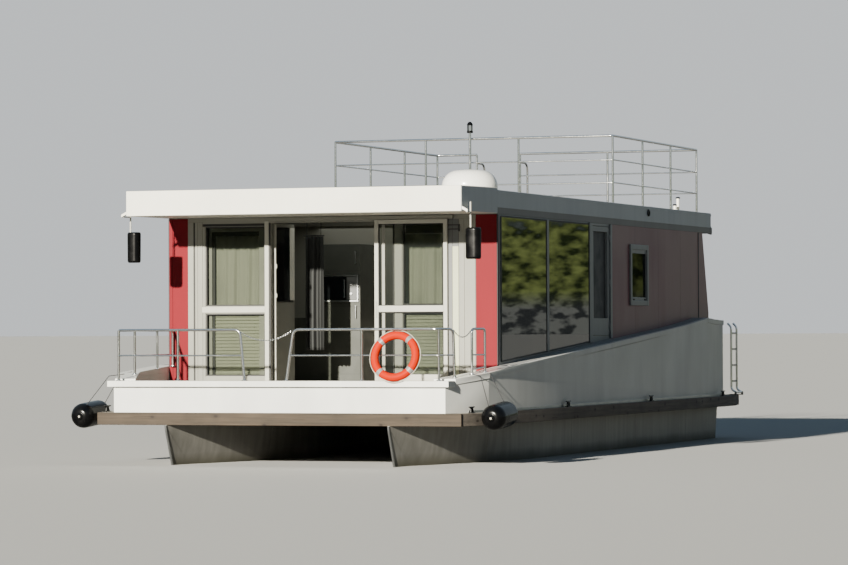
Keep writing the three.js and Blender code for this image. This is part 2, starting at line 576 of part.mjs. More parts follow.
// Outboard motor on the stern timber: clamp, tilting swivel, steered motor, propeller
const motorTilt = { y: 13740, z: 770 };   // axis of the tilt tube, across the boat
const tiltTubeR = 22;
const clampArms = [95, 120];      // x of an arm's faces
const steer = { y: 13820, top: 800, bottom: 400, radius: 34 };   // the steering axis, upright
add('outboard_clamp', join(
  block(-150, 150, platformAft, platformAft + 30, 400, 690),
  ...[-1, 1].map((s) => sidePrism([[platformAft + 25, 560], [motorTilt.y - 50, 560],
    [motorTilt.y + 25, 700], [motorTilt.y + 25, motorTilt.z + 25],
    [motorTilt.y - 18, motorTilt.z + 25], [platformAft + 25, 690]],
  Math.min(s * clampArms[0], s * clampArms[1]), Math.max(s * clampArms[0], s * clampArms[1])))),
'blackMetal');
const tiltTubeEnd = clampArms[0] - touch;
add('outboard_swivel', join(
  bar([-tiltTubeEnd, motorTilt.y, motorTilt.z], [tiltTubeEnd, motorTilt.y, motorTilt.z], tiltTubeR, 12),
  block(-40, 40, motorTilt.y, steer.y, 690, 790),
  block(-18, 18, motorTilt.y + 20, steer.y, 430, 700),
  bar([0, steer.y, steer.bottom], [0, steer.y, steer.top], steer.radius, 12)), 'blackMetal');
// The motor turns on the swivel between a plate above it and one below it
const legFore = steer.y + 50;
const legAft = steer.y + 150;
const cowlFoot = 860;
const gearZ = -280;
const gearAft = legAft;
const cowl = sidePrism([[steer.y - 80, cowlFoot], [steer.y + 330, cowlFoot], [steer.y + 330, 1060],
  [steer.y + 250, 1270], [steer.y + 40, 1310], [steer.y - 80, 1260], [steer.y - 130, 1080]], -170, 170);
add('outboard_motor', join(
  cowl,
  block(-60, 60, steer.y - 50, legAft, steer.top + touch, cowlFoot + 2),
  block(-45, 45, steer.y - 30, legAft, 360, steer.bottom - touch),
  block(-45, 45, legFore, legAft, -240, cowlFoot + 2),
  block(-110, 110, steer.y - 20, steer.y + 280, -90, -74),
  block(-16, 16, steer.y - 20, legAft, -460, -140),
  bar([0, steer.y - 80, gearZ], [0, gearAft, gearZ], 55, 12)), 'blackMetal');
const bladeY = gearAft + 70;
const blades = [0, 1, 2].map((i) => new THREE.BoxGeometry(14, 90, 150)
  .rotateZ(0.5).translate(0, 0, 105).rotateY(i * 2 * Math.PI / 3)
  .translate(0, bladeY, gearZ));
add('outboard_propeller', join(
  bar([0, gearAft + touch, gearZ], [0, gearAft + 140, gearZ], 45, 12), ...blades), 'blackMetal');

// Cabin fittings that show through the glass: a tall unit with an oven front, and a worktop
const galleyY = 4000;
const tallUnit = [-980, -340];
const ovenZ = [2180, 2567];
add('galley_unit', join(
  block(tallUnit[0], tallUnit[1], galleyY, galleyY + 600, floorTop, 3000),
  block(-2330, tallUnit[0] + 10, galleyY, galleyY + 600, floorTop, 1960),
  block(tallUnit[0] + 23, tallUnit[1] - 23, galleyY - 12, galleyY + 10, ovenZ[0], ovenZ[1])),
'greyLaminate');
const partitionY = 6130;
add('cabin_partition', cut(
  block(-2334 + touch, 2334 - touch, partitionY, partitionY + 40, floorTop, wallTop),
  block(300, 1050, partitionY - 10, partitionY + 50, floorTop - 10, 3080)), 'whitePaint');

// Helm: a console with a raked column, and a wheel that turns on the column's end
const helm = { x: 2050, foot: [2050, 2720, 1900], rake: 0.436, column: 110, wheelR: 180 };
const helmAxis = new THREE.Vector3(0, Math.cos(helm.rake), Math.sin(helm.rake));
const alongHelm = (reach) => new THREE.Vector3(...helm.foot).addScaledVector(helmAxis, reach);
add('helm_console', join(
  block(1780, 2320, 2320, 2760, floorTop, 1980),
  bar(helm.foot, alongHelm(helm.column).toArray(), 22)), 'greyLaminate');
const wheelHub = alongHelm(helm.column + touch);
const wheelMiddle = alongHelm(helm.column + 30);
const wheelSpokes = [0, 1, 2].map((i) => new THREE.Vector3(0, helm.wheelR, 0)
  .applyAxisAngle(new THREE.Vector3(0, 0, 1), i * 2 * Math.PI / 3)
  .applyAxisAngle(new THREE.Vector3(1, 0, 0), helm.rake - Math.PI / 2).add(wheelMiddle));
add('helm_wheel', join(
  new THREE.TorusGeometry(helm.wheelR, 14, 6, 24).rotateX(helm.rake - Math.PI / 2)
    .translate(...wheelMiddle),
  bar(wheelHub.toArray(), alongHelm(helm.column + 50).toArray(), 32, 12),
  ...wheelSpokes.map((end) => bar(wheelMiddle.toArray(), end.toArray(), 9))), 'blackMetal');

// Curtains hung from the ceiling: behind both fixed lights, and drawn aside in the doorway
// columns: name, x from and to, y from and to, foot z
const curtains = [
  ['curtain_starboard', -1830, -1010, 2090, 2150, 1080],
  ['curtain_port', 990, 1560, 2135, 2195, 1080],
  ['curtain_door', -840, -560, 3080, 3200, 1500],
];
for (const [name, x0, x1, y0, y1, foot] of curtains) {
  add(name, block(x0, x1, y0, y1, foot, wallTop - touch), 'curtainCloth');
}

// The part's own frame stands on the hull bottoms, with its origin midway along the boat
const extent = new THREE.Box3().setFromObject(boat);
boat.position.set(0, -Math.round((extent.min.y + extent.max.y) / 2), draft);

export default boat;
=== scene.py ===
import math
import random

import bmesh
import bpy
from mathutils import Matrix, Vector


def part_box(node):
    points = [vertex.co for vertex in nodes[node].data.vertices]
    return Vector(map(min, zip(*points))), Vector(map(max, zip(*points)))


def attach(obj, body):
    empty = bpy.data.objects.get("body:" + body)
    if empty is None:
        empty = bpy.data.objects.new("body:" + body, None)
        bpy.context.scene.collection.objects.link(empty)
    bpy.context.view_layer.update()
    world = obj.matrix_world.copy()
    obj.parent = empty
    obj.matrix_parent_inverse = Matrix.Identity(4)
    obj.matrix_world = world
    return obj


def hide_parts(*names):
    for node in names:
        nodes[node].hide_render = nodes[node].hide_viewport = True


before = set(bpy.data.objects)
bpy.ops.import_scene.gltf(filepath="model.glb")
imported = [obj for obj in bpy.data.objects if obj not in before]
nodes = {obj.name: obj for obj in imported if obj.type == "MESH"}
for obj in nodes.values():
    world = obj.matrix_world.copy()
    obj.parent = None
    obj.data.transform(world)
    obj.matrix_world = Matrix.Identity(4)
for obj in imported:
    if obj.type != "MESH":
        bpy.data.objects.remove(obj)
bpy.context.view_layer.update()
random.seed(11)

# Places are in metres: x to port, y aft from the face of the bow board, z up from the water.
# shift moves them into the frame.
deckUnder = 0.535
shift = Vector((0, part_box("timber_bow")[0].y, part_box("timber_bow")[0].z - deckUnder))


# Camera: where the photograph was taken from
cameraView = {"place": (17.786, -43.4796, 1.765), "turn": 0.3469, "lift": 0.0135,
              "roll": -0.0042, "lens": 152.4}


def makeCamera(v):
    turn, lift, roll = v["turn"], v["lift"], v["roll"]
    ahead = Vector((-math.sin(turn) * math.cos(lift), math.cos(turn) * math.cos(lift),
                    math.sin(lift)))
    right = Vector((math.cos(turn), math.sin(turn), 0))
    up = right.cross(ahead)
    rolledRight = right * math.cos(roll) + up * math.sin(roll)
    rolledUp = up * math.cos(roll) - right * math.sin(roll)
    data = bpy.data.cameras.new("camera")
    data.lens, data.sensor_width = v["lens"], 36
    data.clip_start, data.clip_end = 1, 3000
    camera = bpy.data.objects.new("camera", data)
    rows = Matrix((rolledRight, rolledUp, -ahead)).transposed().to_4x4()
    camera.matrix_world = Matrix.Translation(Vector(v["place"]) + shift) @ rows
    bpy.context.scene.collection.objects.link(camera)
    bpy.context.scene.camera = camera


makeCamera(cameraView)
print("camera placed")


# Materials are written as expressions on sockets
class Wire:
    def __init__(self, board, socket):
        self.board, self.socket = board, socket

    def calc(self, operation, *values):
        return self.board.node("Math", {"operation": operation}, dict(enumerate(values)))

    def __add__(self, other):
        return self.calc("ADD", self, other)

    def __sub__(self, other):
        return self.calc("SUBTRACT", self, other)

    def __rsub__(self, other):
        return self.calc("SUBTRACT", other, self)

    def __mul__(self, other):
        return self.calc("MULTIPLY", self, other)

    def __truediv__(self, other):
        return self.calc("DIVIDE", self, other)

    __radd__, __rmul__ = __add__, __mul__


class Board:
    def __init__(self, tree):
        self.tree = tree

    def plug(self, socket, value):
        if isinstance(value, Wire):
            self.tree.links.new(value.socket, socket)
        elif socket.type == "RGBA" and len(value) == 3:
            socket.default_value = (*value, 1)
        else:
            socket.default_value = value

    def node(self, kind, settings=None, inputs=None, output=0):
        node = self.tree.nodes.new("ShaderNode" + kind)
        for key, value in (settings or {}).items():
            setattr(node, key, value)
        for key, value in (inputs or {}).items():
            self.plug(node.inputs[key], value)
        return Wire(self, node.outputs[output])

    def scaled(self, vector, by):
        return self.node("VectorMath", {"operation": "MULTIPLY"}, {0: vector, 1: by})

    def mix(self, factor, first, second):
        return self.node("Mix", {"data_type": "RGBA"}, {0: factor, 6: first, 7: second}, 2)

    def span(self, value, low, high, toLow=0.0, toHigh=1.0):
        return self.node("MapRange", {"clamp": True}, {
            "Value": value, "From Min": low, "From Max": high, "To Min": toLow, "To Max": toHigh})


class Finish(Board):
    def __init__(self, name, **constants):
        self.material = bpy.data.materials.new(name)
        self.material.use_nodes = True
        super().__init__(self.material.node_tree)
        self.shader = self.tree.nodes["Principled BSDF"]
        self.spot = self.node("TexCoord", output="Object")
        for key, value in constants.items():
            self.set(key, value)

    def set(self, key, value):
        words = {"colour": "Base Color", "rough": "Roughness", "metal": "Metallic",
                 "coat": "Coat Weight", "coatRough": "Coat Roughness", "sheen": "Sheen Weight",
                 "ior": "IOR", "normal": "Normal"}
        self.plug(self.shader.inputs[words[key]], value)

    def axis(self, i):
        return self.node("SeparateXYZ", inputs={0: self.spot}, output=i)

    def noise(self, scale, detail=3, along=(1, 1, 1), roughness=0.5):
        return self.node("TexNoise", inputs={
            "Vector": self.scaled(self.spot, along), "Scale": scale, "Detail": detail,
            "Roughness": roughness})

    def bump(self, height, distance):
        self.set("normal", self.node("Bump", inputs={"Height": height, "Distance": distance}))

    # Puts a mix of two shaders on the surface; own is the Principled one
    def blend(self, share, first, second):
        join = self.node("MixShader", inputs={0: share, 1: first, 2: second})
        self.tree.links.new(join.socket, self.tree.nodes["Material Output"].inputs["Surface"])

    def own(self):
        return Wire(self, self.shader.outputs[0])


# Satin paint: slow fading, rain streaks that run down, a fine orange-peel skin; on the bulwark the
# patches and streaks are partly painted reflection of the water
def painted(name, colour, rough=0.35, grime_and_reflection=(0.30, 0.29, 0.25), amount=0.25, fade_and_reflection=0.06,
            peel=0.0003, coat=0.0, streak=7, ior=1.45):
    f = Finish(name, coat=coat, coatRough=0.12, ior=ior)
    cloud = f.noise(0.8, 4)
    runs = f.noise(streak, 3, along=(1, 1, 0.05 if streak > 4 else 0.3))
    skin = f.noise(140, 2)
    wear_and_reflection = f.span(runs * 0.6 + cloud * 0.4, 0.46, 0.72)
    pale = tuple(min(1, c * (1 + fade_and_reflection)) for c in colour)
    deep = tuple(c * (1 - fade_and_reflection) for c in colour)
    base = f.mix(f.span(cloud, 0.3, 0.7), deep, pale)
    f.set("colour", f.mix(wear_and_reflection * amount, base, grime_and_reflection))
    f.set("rough", rough + wear_and_reflection * 0.16 + (skin - 0.5) * 0.1)
    f.bump(skin, peel)
    return f.material


# Softwood with grain along one axis, knots, drying cracks and darker stains
def timber(name, light, dark, along):
    knotColour, crackColour = (0.014, 0.008, 0.005), (0.05, 0.035, 0.025)
    f = Finish(name)
    stretch = [26, 26, 26]
    stretch[along] = 0.9
    fine = [150, 150, 150]
    fine[along] = 5
    length = f.axis(along)
    bend = f.noise(1.3, 2, roughness=0.4)
    grain = f.noise(1, 5, along=stretch, roughness=0.62)
    fibre = f.noise(1, 3, along=fine)
    knotSpot = f.node("CombineXYZ", inputs={0: length * 1.9, 1: f.axis(2) * 3.1})
    knot = f.node("TexVoronoi", {"voronoi_dimensions": "2D"}, {"Vector": knotSpot, "Scale": 1.0})
    ring = f.span(knot, 0.03, 0.16, 1, 0)
    core = f.span(knot, 0.035, 0.06, 1, 0)
    crack = f.span(f.noise(1, 2, along=[c * 1.6 for c in stretch]), 0.66, 0.70)
    tone = f.span(grain * 0.75 + bend * 0.25 + ring * 0.12, 0.32, 0.68)
    colour = f.mix(tone, light, dark)
    colour = f.mix(fibre * 0.22, colour, dark)
    colour = f.mix(core * 0.85, colour, knotColour)
    colour = f.mix(crack * 0.8, colour, crackColour)
    stain = f.span(f.noise(1.6, 4), 0.5, 0.75)
    f.set("colour", f.mix(stain * 0.5, colour, tuple(c * 0.55 for c in dark)))
    f.set("rough", 0.72 + fibre * 0.2)
    f.bump(grain * 0.5 + fibre * 0.3 - crack * 1.2 - core * 0.3, 0.0025)
    return f.material


# Boards laid along one axis with open joints
def boarded(name, light, dark, across=0, board=0.142, joint=0.035):
    f = Finish(name)
    place = f.axis(across) / board + 100
    number = place.calc("FLOOR", place)
    inside = place.calc("FRACT", place)
    tone = f.node("TexWhiteNoise", {"noise_dimensions": "1D"}, {"W": number})
    stretch = [70, 70, 70]
    stretch[1 - across] = 2.2
    grain = f.noise(1, 4, along=stretch, roughness=0.6)
    middle = (inside - 0.5).calc("ABSOLUTE", inside - 0.5)
    gap = f.span(middle, 0.5 - joint, 0.5 - joint * 0.5)
    colour = f.mix(f.span(grain * 0.6 + tone * 0.4, 0.2, 0.8), light, dark)
    f.set("colour", f.mix(gap, colour, (0.02, 0.018, 0.015)))
    f.set("rough", 0.7 + grain * 0.2)
    f.bump(grain * 0.15 - gap, 0.003)
    return f.material


# Coated steel hull: dull runs, a scum line at the water and growth under it
def hullSkin(name):
    f = Finish(name)
    height = f.axis(2) - shift.z
    runs = f.noise(9, 4, along=(1, 1, 0.06))
    cloud = f.noise(1.1, 5)
    skin = f.noise(60, 3)
    base = f.mix(f.span(runs * 0.6 + cloud * 0.4, 0.3, 0.7), (0.20, 0.195, 0.175),
                 (0.36, 0.35, 0.32))
    scum = f.span(height + (cloud - 0.5) * 0.10, 0.02, 0.16, 1, 0)
    colour = f.mix(scum * 0.8, base, (0.10, 0.095, 0.06))
    under = f.span(height + (runs - 0.5) * 0.05, -0.06, 0.0, 1, 0)
    f.set("colour", f.mix(under * 0.9, colour, (0.045, 0.055, 0.05)))
    f.set("rough", 0.38 + runs * 0.25 + scum * 0.2)
    f.set("metal", (1 - scum) * 0.35)
    f.bump(skin * 0.4 + cloud, 0.0015)
    return f.material


def metalSkin(name, colour, rough, brush=(40, 40, 40)):
    f = Finish(name, metal=1.0)
    lines = f.noise(1, 3, along=brush)
    dull = f.noise(3, 3)
    f.set("colour", f.mix(f.span(dull, 0.35, 0.75), colour, tuple(c * 0.8 for c in colour)))
    f.set("rough", rough + (lines - 0.5) * 0.12 + f.span(dull, 0.5, 0.8) * 0.12)
    return f.material


def moulded(name, colour, rough=0.35, dust=0.12, dustColour=(0.25, 0.24, 0.22), grain=220,
            depth=0.0002, ior=1.45):
    f = Finish(name, ior=ior)
    pores = f.noise(grain, 2)
    patch = f.span(f.noise(5, 4), 0.45, 0.75)
    f.set("colour", f.mix(patch * dust, colour, dustColour))
    f.set("rough", rough + patch * 0.2 + (pores - 0.5) * 0.08)
    f.bump(pores, depth)
    return f.material


# Clear pane: tinted where it lets light through, glossy by its angle
def pane(name, tint, gloss=(0.03, 0.035, 0.035), body=0.35, ior=1.5):
    f = Finish(name, colour=gloss, ior=ior)
    smear = f.noise(2.2, 4)
    f.set("rough", 0.004 + smear * 0.008)
    clear = f.node("BsdfTransparent", inputs={0: tint})
    edge = f.node("Fresnel", inputs={"IOR": 1.52})
    share = body + edge * (1 - body) * 1.6 + f.span(smear, 0.5, 0.8) * 0.04
    f.blend(share, clear, f.own())
    return f.material


# Woven cloth with soft vertical shading
def cloth(name, colour, thread=420, see=0.0, sheen=0.1):
    f = Finish(name, sheen=sheen)
    warp = f.node("TexWave", {"bands_direction": "X"}, {
        "Vector": f.spot, "Scale": thread / 6.28, "Distortion": 0.4})
    weft = f.node("TexWave", {"bands_direction": "Z"}, {
        "Vector": f.spot, "Scale": thread / 6.28, "Distortion": 0.4})
    slub = f.noise(30, 3, along=(1, 1, 0.1))
    f.set("colour", f.mix(slub * 0.3 + warp * 0.1, colour, tuple(c * 0.72 for c in colour)))
    f.set("rough", 0.85 + (slub - 0.5) * 0.1)
    f.bump(warp * 0.5 + weft * 0.5, 0.0003)
    if see:
        f.blend(see, f.own(), f.node("BsdfTranslucent", inputs={0: colour}))
    return f.material


# Lifebuoy shell: scuffed orange
def shellSkin(name):
    f = Finish(name, ior=1.12)
    scuff = f.span(f.noise(6, 5, roughness=0.65), 0.5, 0.72)
    pit = f.noise(90, 3)
    f.set("colour", f.mix(scuff * 0.4, (0.42, 0.014, 0.0), (0.42, 0.035, 0.006)))
    f.set("rough", 0.42 + scuff * 0.25)
    f.bump(pit + scuff * 0.4, 0.0008)
    return f.material


finishes = {
    "white_paint": painted("whitePaint", (0.80, 0.785, 0.70), 0.34, amount=0.10),
    # white paint with painted shade: darker and bluer, as the white looks in shade
    "white_paint_painted_shade": painted("whitePaintPaintedShade", (0.47, 0.51, 0.54), 0.36, amount=0.12),
    # bulwark: broad soft patches and streaks, partly rain marks and partly painted reflection of
    # the water on its shaded side
    "bulwark": painted("bulwarkPaintAndPaintedReflection", (0.69, 0.70, 0.675), 0.34, amount=0.30, fade_and_reflection=0.12,
                       streak=2.2),
    "red_panel": painted("redPanel", (0.175, 0.009, 0.015), 0.45, grime_and_reflection=(0.15, 0.013, 0.018),
                         amount=0.2, ior=1.18),
    "dark_panel": painted("darkCladding", (0.190, 0.070, 0.082), 0.38, fade_and_reflection=0.08,
                          grime_and_reflection=(0.15, 0.10, 0.09), streak=1.6),
    "white_frame": painted("frameWhite", (0.25, 0.25, 0.215), 0.34, amount=0.15, peel=0.0001),
    "leaf_frame": painted("leafWhite", (0.46, 0.455, 0.40), 0.32, amount=0.10, peel=0.0001),
    "grey_frame": painted("frameGrey", (0.20, 0.215, 0.225), 0.36, amount=0.2),
    "grey_band": painted("soffitGrey", (0.20, 0.20, 0.19), 0.5, amount=0.2),
    "hull_metal": hullSkin("hullCoating"),
    "bow_timber": timber("bowTimber", (0.070, 0.050, 0.032), (0.024, 0.017, 0.011), 0),
    "side_timber": timber("sideTimber", (0.17, 0.145, 0.12), (0.07, 0.06, 0.05), 1),
    "deck_boards": boarded("deckBoards", (0.42, 0.39, 0.335), (0.26, 0.24, 0.205)),
    "stainless": metalSkin("polishedTube", (0.62, 0.62, 0.61), 0.12),
    "dull_steel": metalSkin("galvanised", (0.42, 0.43, 0.44), 0.42, (25, 25, 25)),
    "aluminium": metalSkin("rawAluminium", (0.42, 0.43, 0.43), 0.36, (4, 90, 90)),
    "gelcoat": painted("gelcoat", (0.84, 0.84, 0.80), 0.24, amount=0.08, coat=0.3),
    "orange_shell": shellSkin("lifebuoyShell"),
    "black_rubber": moulded("fenderSkin", (0.0014, 0.0014, 0.0017), 0.16, dust=0.01, ior=1.25),
    "gasket": moulded("gasketRubber", (0.012, 0.012, 0.013), 0.6, 0.15),
    "black_metal": moulded("blackPaint", (0.0016, 0.0016, 0.0018), 0.24, 0.01, ior=1.25),
    # grey of the oven panel, also used as painted shade in the slot beside the port panel
    "slot_grey": painted("greyAndPaintedShade", (0.13, 0.135, 0.135), 0.4, amount=0.2),
    "slot_cream": painted("slotCream", (0.52, 0.54, 0.36), 0.3, amount=0.1),
    "grey_laminate": moulded("laminate", (0.070, 0.074, 0.064), 0.35, 0.05, ior=1.3),
    "white_laminate": moulded("wallLining", (0.28, 0.27, 0.23), 0.5, 0.05),
    "window_glass": pane("sideGlass", (0.22, 0.25, 0.22), body=0.80, ior=2.9),
    "clear_glass": pane("clearGlass", (0.45, 0.66, 0.58), body=0.12),
    "front_glass": pane("frontGlass", (0.85, 0.865, 0.83), body=0.05),
    "leaf_glass": pane("leafGlass", (0.93, 0.94, 0.92), body=0.03),
    "dark_glass": pane("darkGlass", (0.035, 0.042, 0.045), (0.012, 0.014, 0.016), body=0.60,
                       ior=1.16),
    "fly_screen": moulded("flyScreen", (0.012, 0.014, 0.015), 0.55, 0.05, grain=900, depth=0.0004),
    "rim_top_grey": moulded("rimTopGrey", (0.34, 0.34, 0.33), 0.75, 0.3, grain=400, depth=0.0008),
    "curtain_cloth": cloth("curtainWeave", (0.385, 0.395, 0.325), see=0.32),
    "blind": moulded("blindSlat", (0.30, 0.31, 0.24), 0.5, 0.05),
    "dark_cloth": cloth("darkWeave", (0.030, 0.032, 0.032), sheen=0.0),
    "tape": moulded("greyTape", (0.20, 0.21, 0.21), 0.3, 0.2, grain=600),
    "rope": moulded("whiteLine", (0.45, 0.43, 0.36), 0.8, 0.4, grain=500, depth=0.001),
    "dark_rope": moulded("darkLine", (0.02, 0.02, 0.023), 0.8, 0.2, grain=500, depth=0.001),
    "roof_sheet": moulded("roofSheet", (0.46, 0.46, 0.43), 0.75, 0.4, (0.28, 0.27, 0.22),
                          grain=320, depth=0.0006),
    "mirror": metalSkin("mirrorSilver", (0.85, 0.87, 0.88), 0.06),
}
print("materials made:", len(finishes))


# Shapes, each added to the bmesh that it is given
def brick(bm, x, y, z):
    size = Matrix.Diagonal((x[1] - x[0], y[1] - y[0], z[1] - z[0], 1))
    middle = Matrix.Translation(((x[0] + x[1]) / 2, (y[0] + y[1]) / 2, (z[0] + z[1]) / 2))
    return bmesh.ops.create_cube(bm, size=1, matrix=middle @ size)["verts"]


def bevelled(bm, verts, radius, segments=3):
    edges = list({e for v in verts for e in v.link_edges})
    bmesh.ops.bevel(bm, geom=edges, offset=radius, segments=segments, affect="EDGES",
                    profile=0.5, material=-1, clamp_overlap=True)


def rounded(bm, x, y, z, radius, segments=3):
    bevelled(bm, brick(bm, x, y, z), radius, segments)


# Spans: one about its middle, and one made longer at both ends (shorter if by is below zero)
def around(middle, half):
    return middle - half, middle + half


def grown(span, by):
    return span[0] - by, span[1] + by


# Several rounded boxes, each (x, y, z)
def boxes(bm, spans, radius, segments=3):
    for x, y, z in spans:
        rounded(bm, x, y, z, radius, segments)
    return bm


def along(start, end):
    line = Vector(end) - Vector(start)
    turn = line.to_track_quat("Z", "Y").to_matrix().to_4x4()
    return Matrix.Translation((Vector(start) + Vector(end)) / 2) @ turn, line.length


def rod(bm, start, end, radius, endRadius=None, sides=20):
    matrix, length = along(start, end)
    return bmesh.ops.create_cone(
        bm, cap_ends=True, segments=sides, radius1=radius,
        radius2=radius if endRadius is None else endRadius, depth=length, matrix=matrix)["verts"]


# A profile of (radius, height) pairs spun about the z axis, then moved by matrix
def turned(bm, profile, matrix, steps=48):
    verts = [bm.verts.new((r, 0, h)) for r, h in profile]
    edges = [bm.edges.new(pair) for pair in zip(verts, verts[1:])]
    before = set(bm.verts) - set(verts)
    bmesh.ops.spin(bm, geom=verts + edges, cent=(0, 0, 0), axis=(0, 0, 1),
                   angle=2 * math.pi, steps=steps, use_merge=True)
    fresh = [v for v in bm.verts if v not in before]
    bmesh.ops.remove_doubles(bm, verts=fresh, dist=1e-5)
    fresh = [v for v in bm.verts if v not in before]
    bmesh.ops.recalc_face_normals(bm, faces=list({f for v in fresh for f in v.link_faces}))
    bmesh.ops.transform(bm, matrix=matrix, verts=fresh)
    return fresh


# A closed ring of small section, about the z axis, then moved by matrix
def ring(bm, radius, section, matrix, steps=32, sides=12, arc=2 * math.pi):
    before = set(bm.verts)
    start = Matrix.Translation((radius, 0, 0)) @ Matrix.Rotation(math.pi / 2, 4, "X")
    circle = bmesh.ops.create_circle(bm, cap_ends=False, segments=sides, radius=section,
                                     matrix=start)["verts"]
    edges = list({e for v in circle for e in v.link_edges})
    full = arc > 6.28
    bmesh.ops.spin(bm, geom=circle + edges, cent=(0, 0, 0), axis=(0, 0, 1), angle=arc,
                   steps=steps, use_merge=full)
    fresh = [v for v in bm.verts if v not in before]
    if not full:
        rims = [e for e in {e for v in fresh for e in v.link_edges} if len(e.link_faces) == 1]
        bmesh.ops.holes_fill(bm, edges=rims, sides=sides)
    bmesh.ops.recalc_face_normals(bm, faces=list({f for v in fresh for f in v.link_faces}))
    bmesh.ops.transform(bm, matrix=matrix, verts=fresh)
    return fresh


# An outline raised along a vector, with its faces turned outwards
def raised(bm, outline, direction, radius=0, segments=3):
    face = bm.faces.new([bm.verts.new(p) for p in outline])
    grown = bmesh.ops.extrude_face_region(bm, geom=[face])["geom"]
    top = [g for g in grown if isinstance(g, bmesh.types.BMVert)]
    bmesh.ops.translate(bm, vec=direction, verts=top)
    verts = list(face.verts) + top
    bmesh.ops.recalc_face_normals(bm, faces=list({f for v in verts for f in v.link_faces}))
    if radius:
        bevelled(bm, verts, radius, segments)
    return verts


def stamp(bm, mesh, matrix):
    pressed = mesh.copy()
    pressed.transform(matrix)
    bm.from_mesh(pressed)
    bpy.data.meshes.remove(pressed)


def keep(bm, name="pattern"):
    mesh = bpy.data.meshes.new(name)
    bm.to_mesh(mesh)
    bm.free()
    return mesh


def dress(obj, finish, slot, body, replaces):
    obj.data.materials.append(finishes[finish])
    bpy.context.scene.collection.objects.link(obj)
    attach(obj, body)
    slot or finish
    if replaces:
        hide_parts(*replaces)
    return obj


# Ends a bmesh as a piece: its place goes into the mesh, and sharp edges are kept sharp
def made(name, bm, finish, slot=None, body="boat", replaces=(), width=0, segments=2, sharp=35,
         flat=True):
    bmesh.ops.translate(bm, vec=shift, verts=bm.verts)
    for face in bm.faces:
        face.smooth = True
    for edge in bm.edges:
        edge.smooth = edge.calc_face_angle(0) < math.radians(sharp)
    obj = bpy.data.objects.new(name, keep(bm, name))
    if flat:
        obj.modifiers.new("flat faces", "WEIGHTED_NORMAL").keep_sharp = True
    if width:
        edge = obj.modifiers.new("edge", "BEVEL")
        edge.width, edge.segments, edge.limit_method = width, segments, "ANGLE"
        edge.angle_limit, edge.harden_normals = math.radians(sharp), True
    return dress(obj, finish, slot, body, replaces)


# A bmesh copy of a CAD node, merged, with flat areas joined
def copyOf(node):
    bm = bmesh.new()
    bm.from_mesh(nodes[node].data)
    bmesh.ops.translate(bm, vec=-shift, verts=bm.verts)
    bmesh.ops.remove_doubles(bm, verts=bm.verts, dist=2e-5)
    bmesh.ops.dissolve_limit(bm, angle_limit=math.radians(0.4), verts=bm.verts, edges=bm.edges)
    return bm


def softened(node, finish, slot=None, width=0.004, segments=2, body="boat"):
    return made(node + "_body", copyOf(node), finish, slot, body, [node], width, segments)


# A piece of rounded boxes alone; dressing is what made takes after the bmesh
def blocks(name, spans, radius, segments, *dressing):
    made(name, boxes(bmesh.new(), spans, radius, segments), *dressing)


# A CAD node that stays as it is and gets a finish
def skinned(node, finish):
    nodes[node].data.materials.clear()
    nodes[node].data.materials.append(finishes[finish])


# A strip of a node's skin between two planes, lifted a little off it
def strip(bm, node, axis, low, high, lift, also=None, upward=False):
    part = copyOf(node)
    cuts = [(axis, low, high)] + ([also] if also else [])
    for i, a, b in cuts:
        normal = Vector((0, 0, 0))
        normal[i] = 1
        for value, sign in ((a, -1), (b, 1)):
            geom = part.verts[:] + part.edges[:] + part.faces[:]
            bmesh.ops.bisect_plane(part, geom=geom, plane_co=normal * value,
                                   plane_no=normal * sign, clear_outer=True)
    if upward:
        turnedAway = [face for face in part.faces if face.normal.z < 0.6]
        bmesh.ops.delete(part, geom=turnedAway, context="FACES")
    bmesh.ops.solidify(part, geom=part.faces[:], thickness=-lift)
    stamp(bm, keep(part), Matrix())


def bent(points, bend, steps=6):
    points = [Vector(p) for p in points]
    route = [points[0]]
    for before, corner, after in zip(points, points[1:], points[2:]):
        reach = min(bend, (before - corner).length * 0.48, (after - corner).length * 0.48)
        a = corner + (before - corner).normalized() * reach
        b = corner + (after - corner).normalized() * reach
        for i in range(steps + 1):
            t = i / steps
            route.append(a * (1 - t) ** 2 + corner * 2 * t * (1 - t) + b * t ** 2)
    return route + [points[-1]]


# Tubes as one curve object; each route is (points, radius, bend)
def tubes(name, routes, finish, slot=None, body="boat", replaces=(), sides=3):
    curve = bpy.data.curves.new(name, "CURVE")
    curve.dimensions = "3D"
    curve.bevel_depth, curve.bevel_resolution, curve.use_fill_caps = 1, sides, True
    for points, radius, bend in routes:
        route = bent(points, bend) if bend else [Vector(p) for p in points]
        closed = (route[0] - route[-1]).length < 1e-6
        if closed:
            route.pop()
        spline = curve.splines.new("POLY")
        spline.points.add(len(route) - 1)
        for point, place in zip(spline.points, route):
            point.co, point.radius = (*(place + shift), 1), radius
        spline.use_cyclic_u = closed
        spline.use_smooth = True
    return dress(bpy.data.objects.new(name, curve), finish, slot, body, replaces)


def bothSides():
    return ("port", 1), ("starboard", -1)


# The span between two distances from the boat's middle, on the side that s gives
def off(s, near, far):
    return sorted((s * near, s * far))


# The four bars of a frame in the plane of u and v: uprights, then the rails between them
def bars(u, v, upright, foot=None, head=None):
    (u0, u1), (v0, v1) = u, v
    inner = (u0 + upright, u1 - upright)
    return (((u0, u0 + upright), v), ((u1 - upright, u1), v),
            (inner, (v0, v0 + (foot or upright))), (inner, (v1 - (head or upright), v1)))


# Small fittings used in several places
def boltHead(radius=0.011, height=0.006):
    bm = bmesh.new()
    turned(bm, [(0, 0), (radius * 1.5, 0), (radius * 1.5, height * 0.25), (radius, height * 0.3),
                (radius * 0.95, height * 0.75), (radius * 0.6, height), (0, height)],
           Matrix(), 10)
    return keep(bm)


bolt = boltHead()


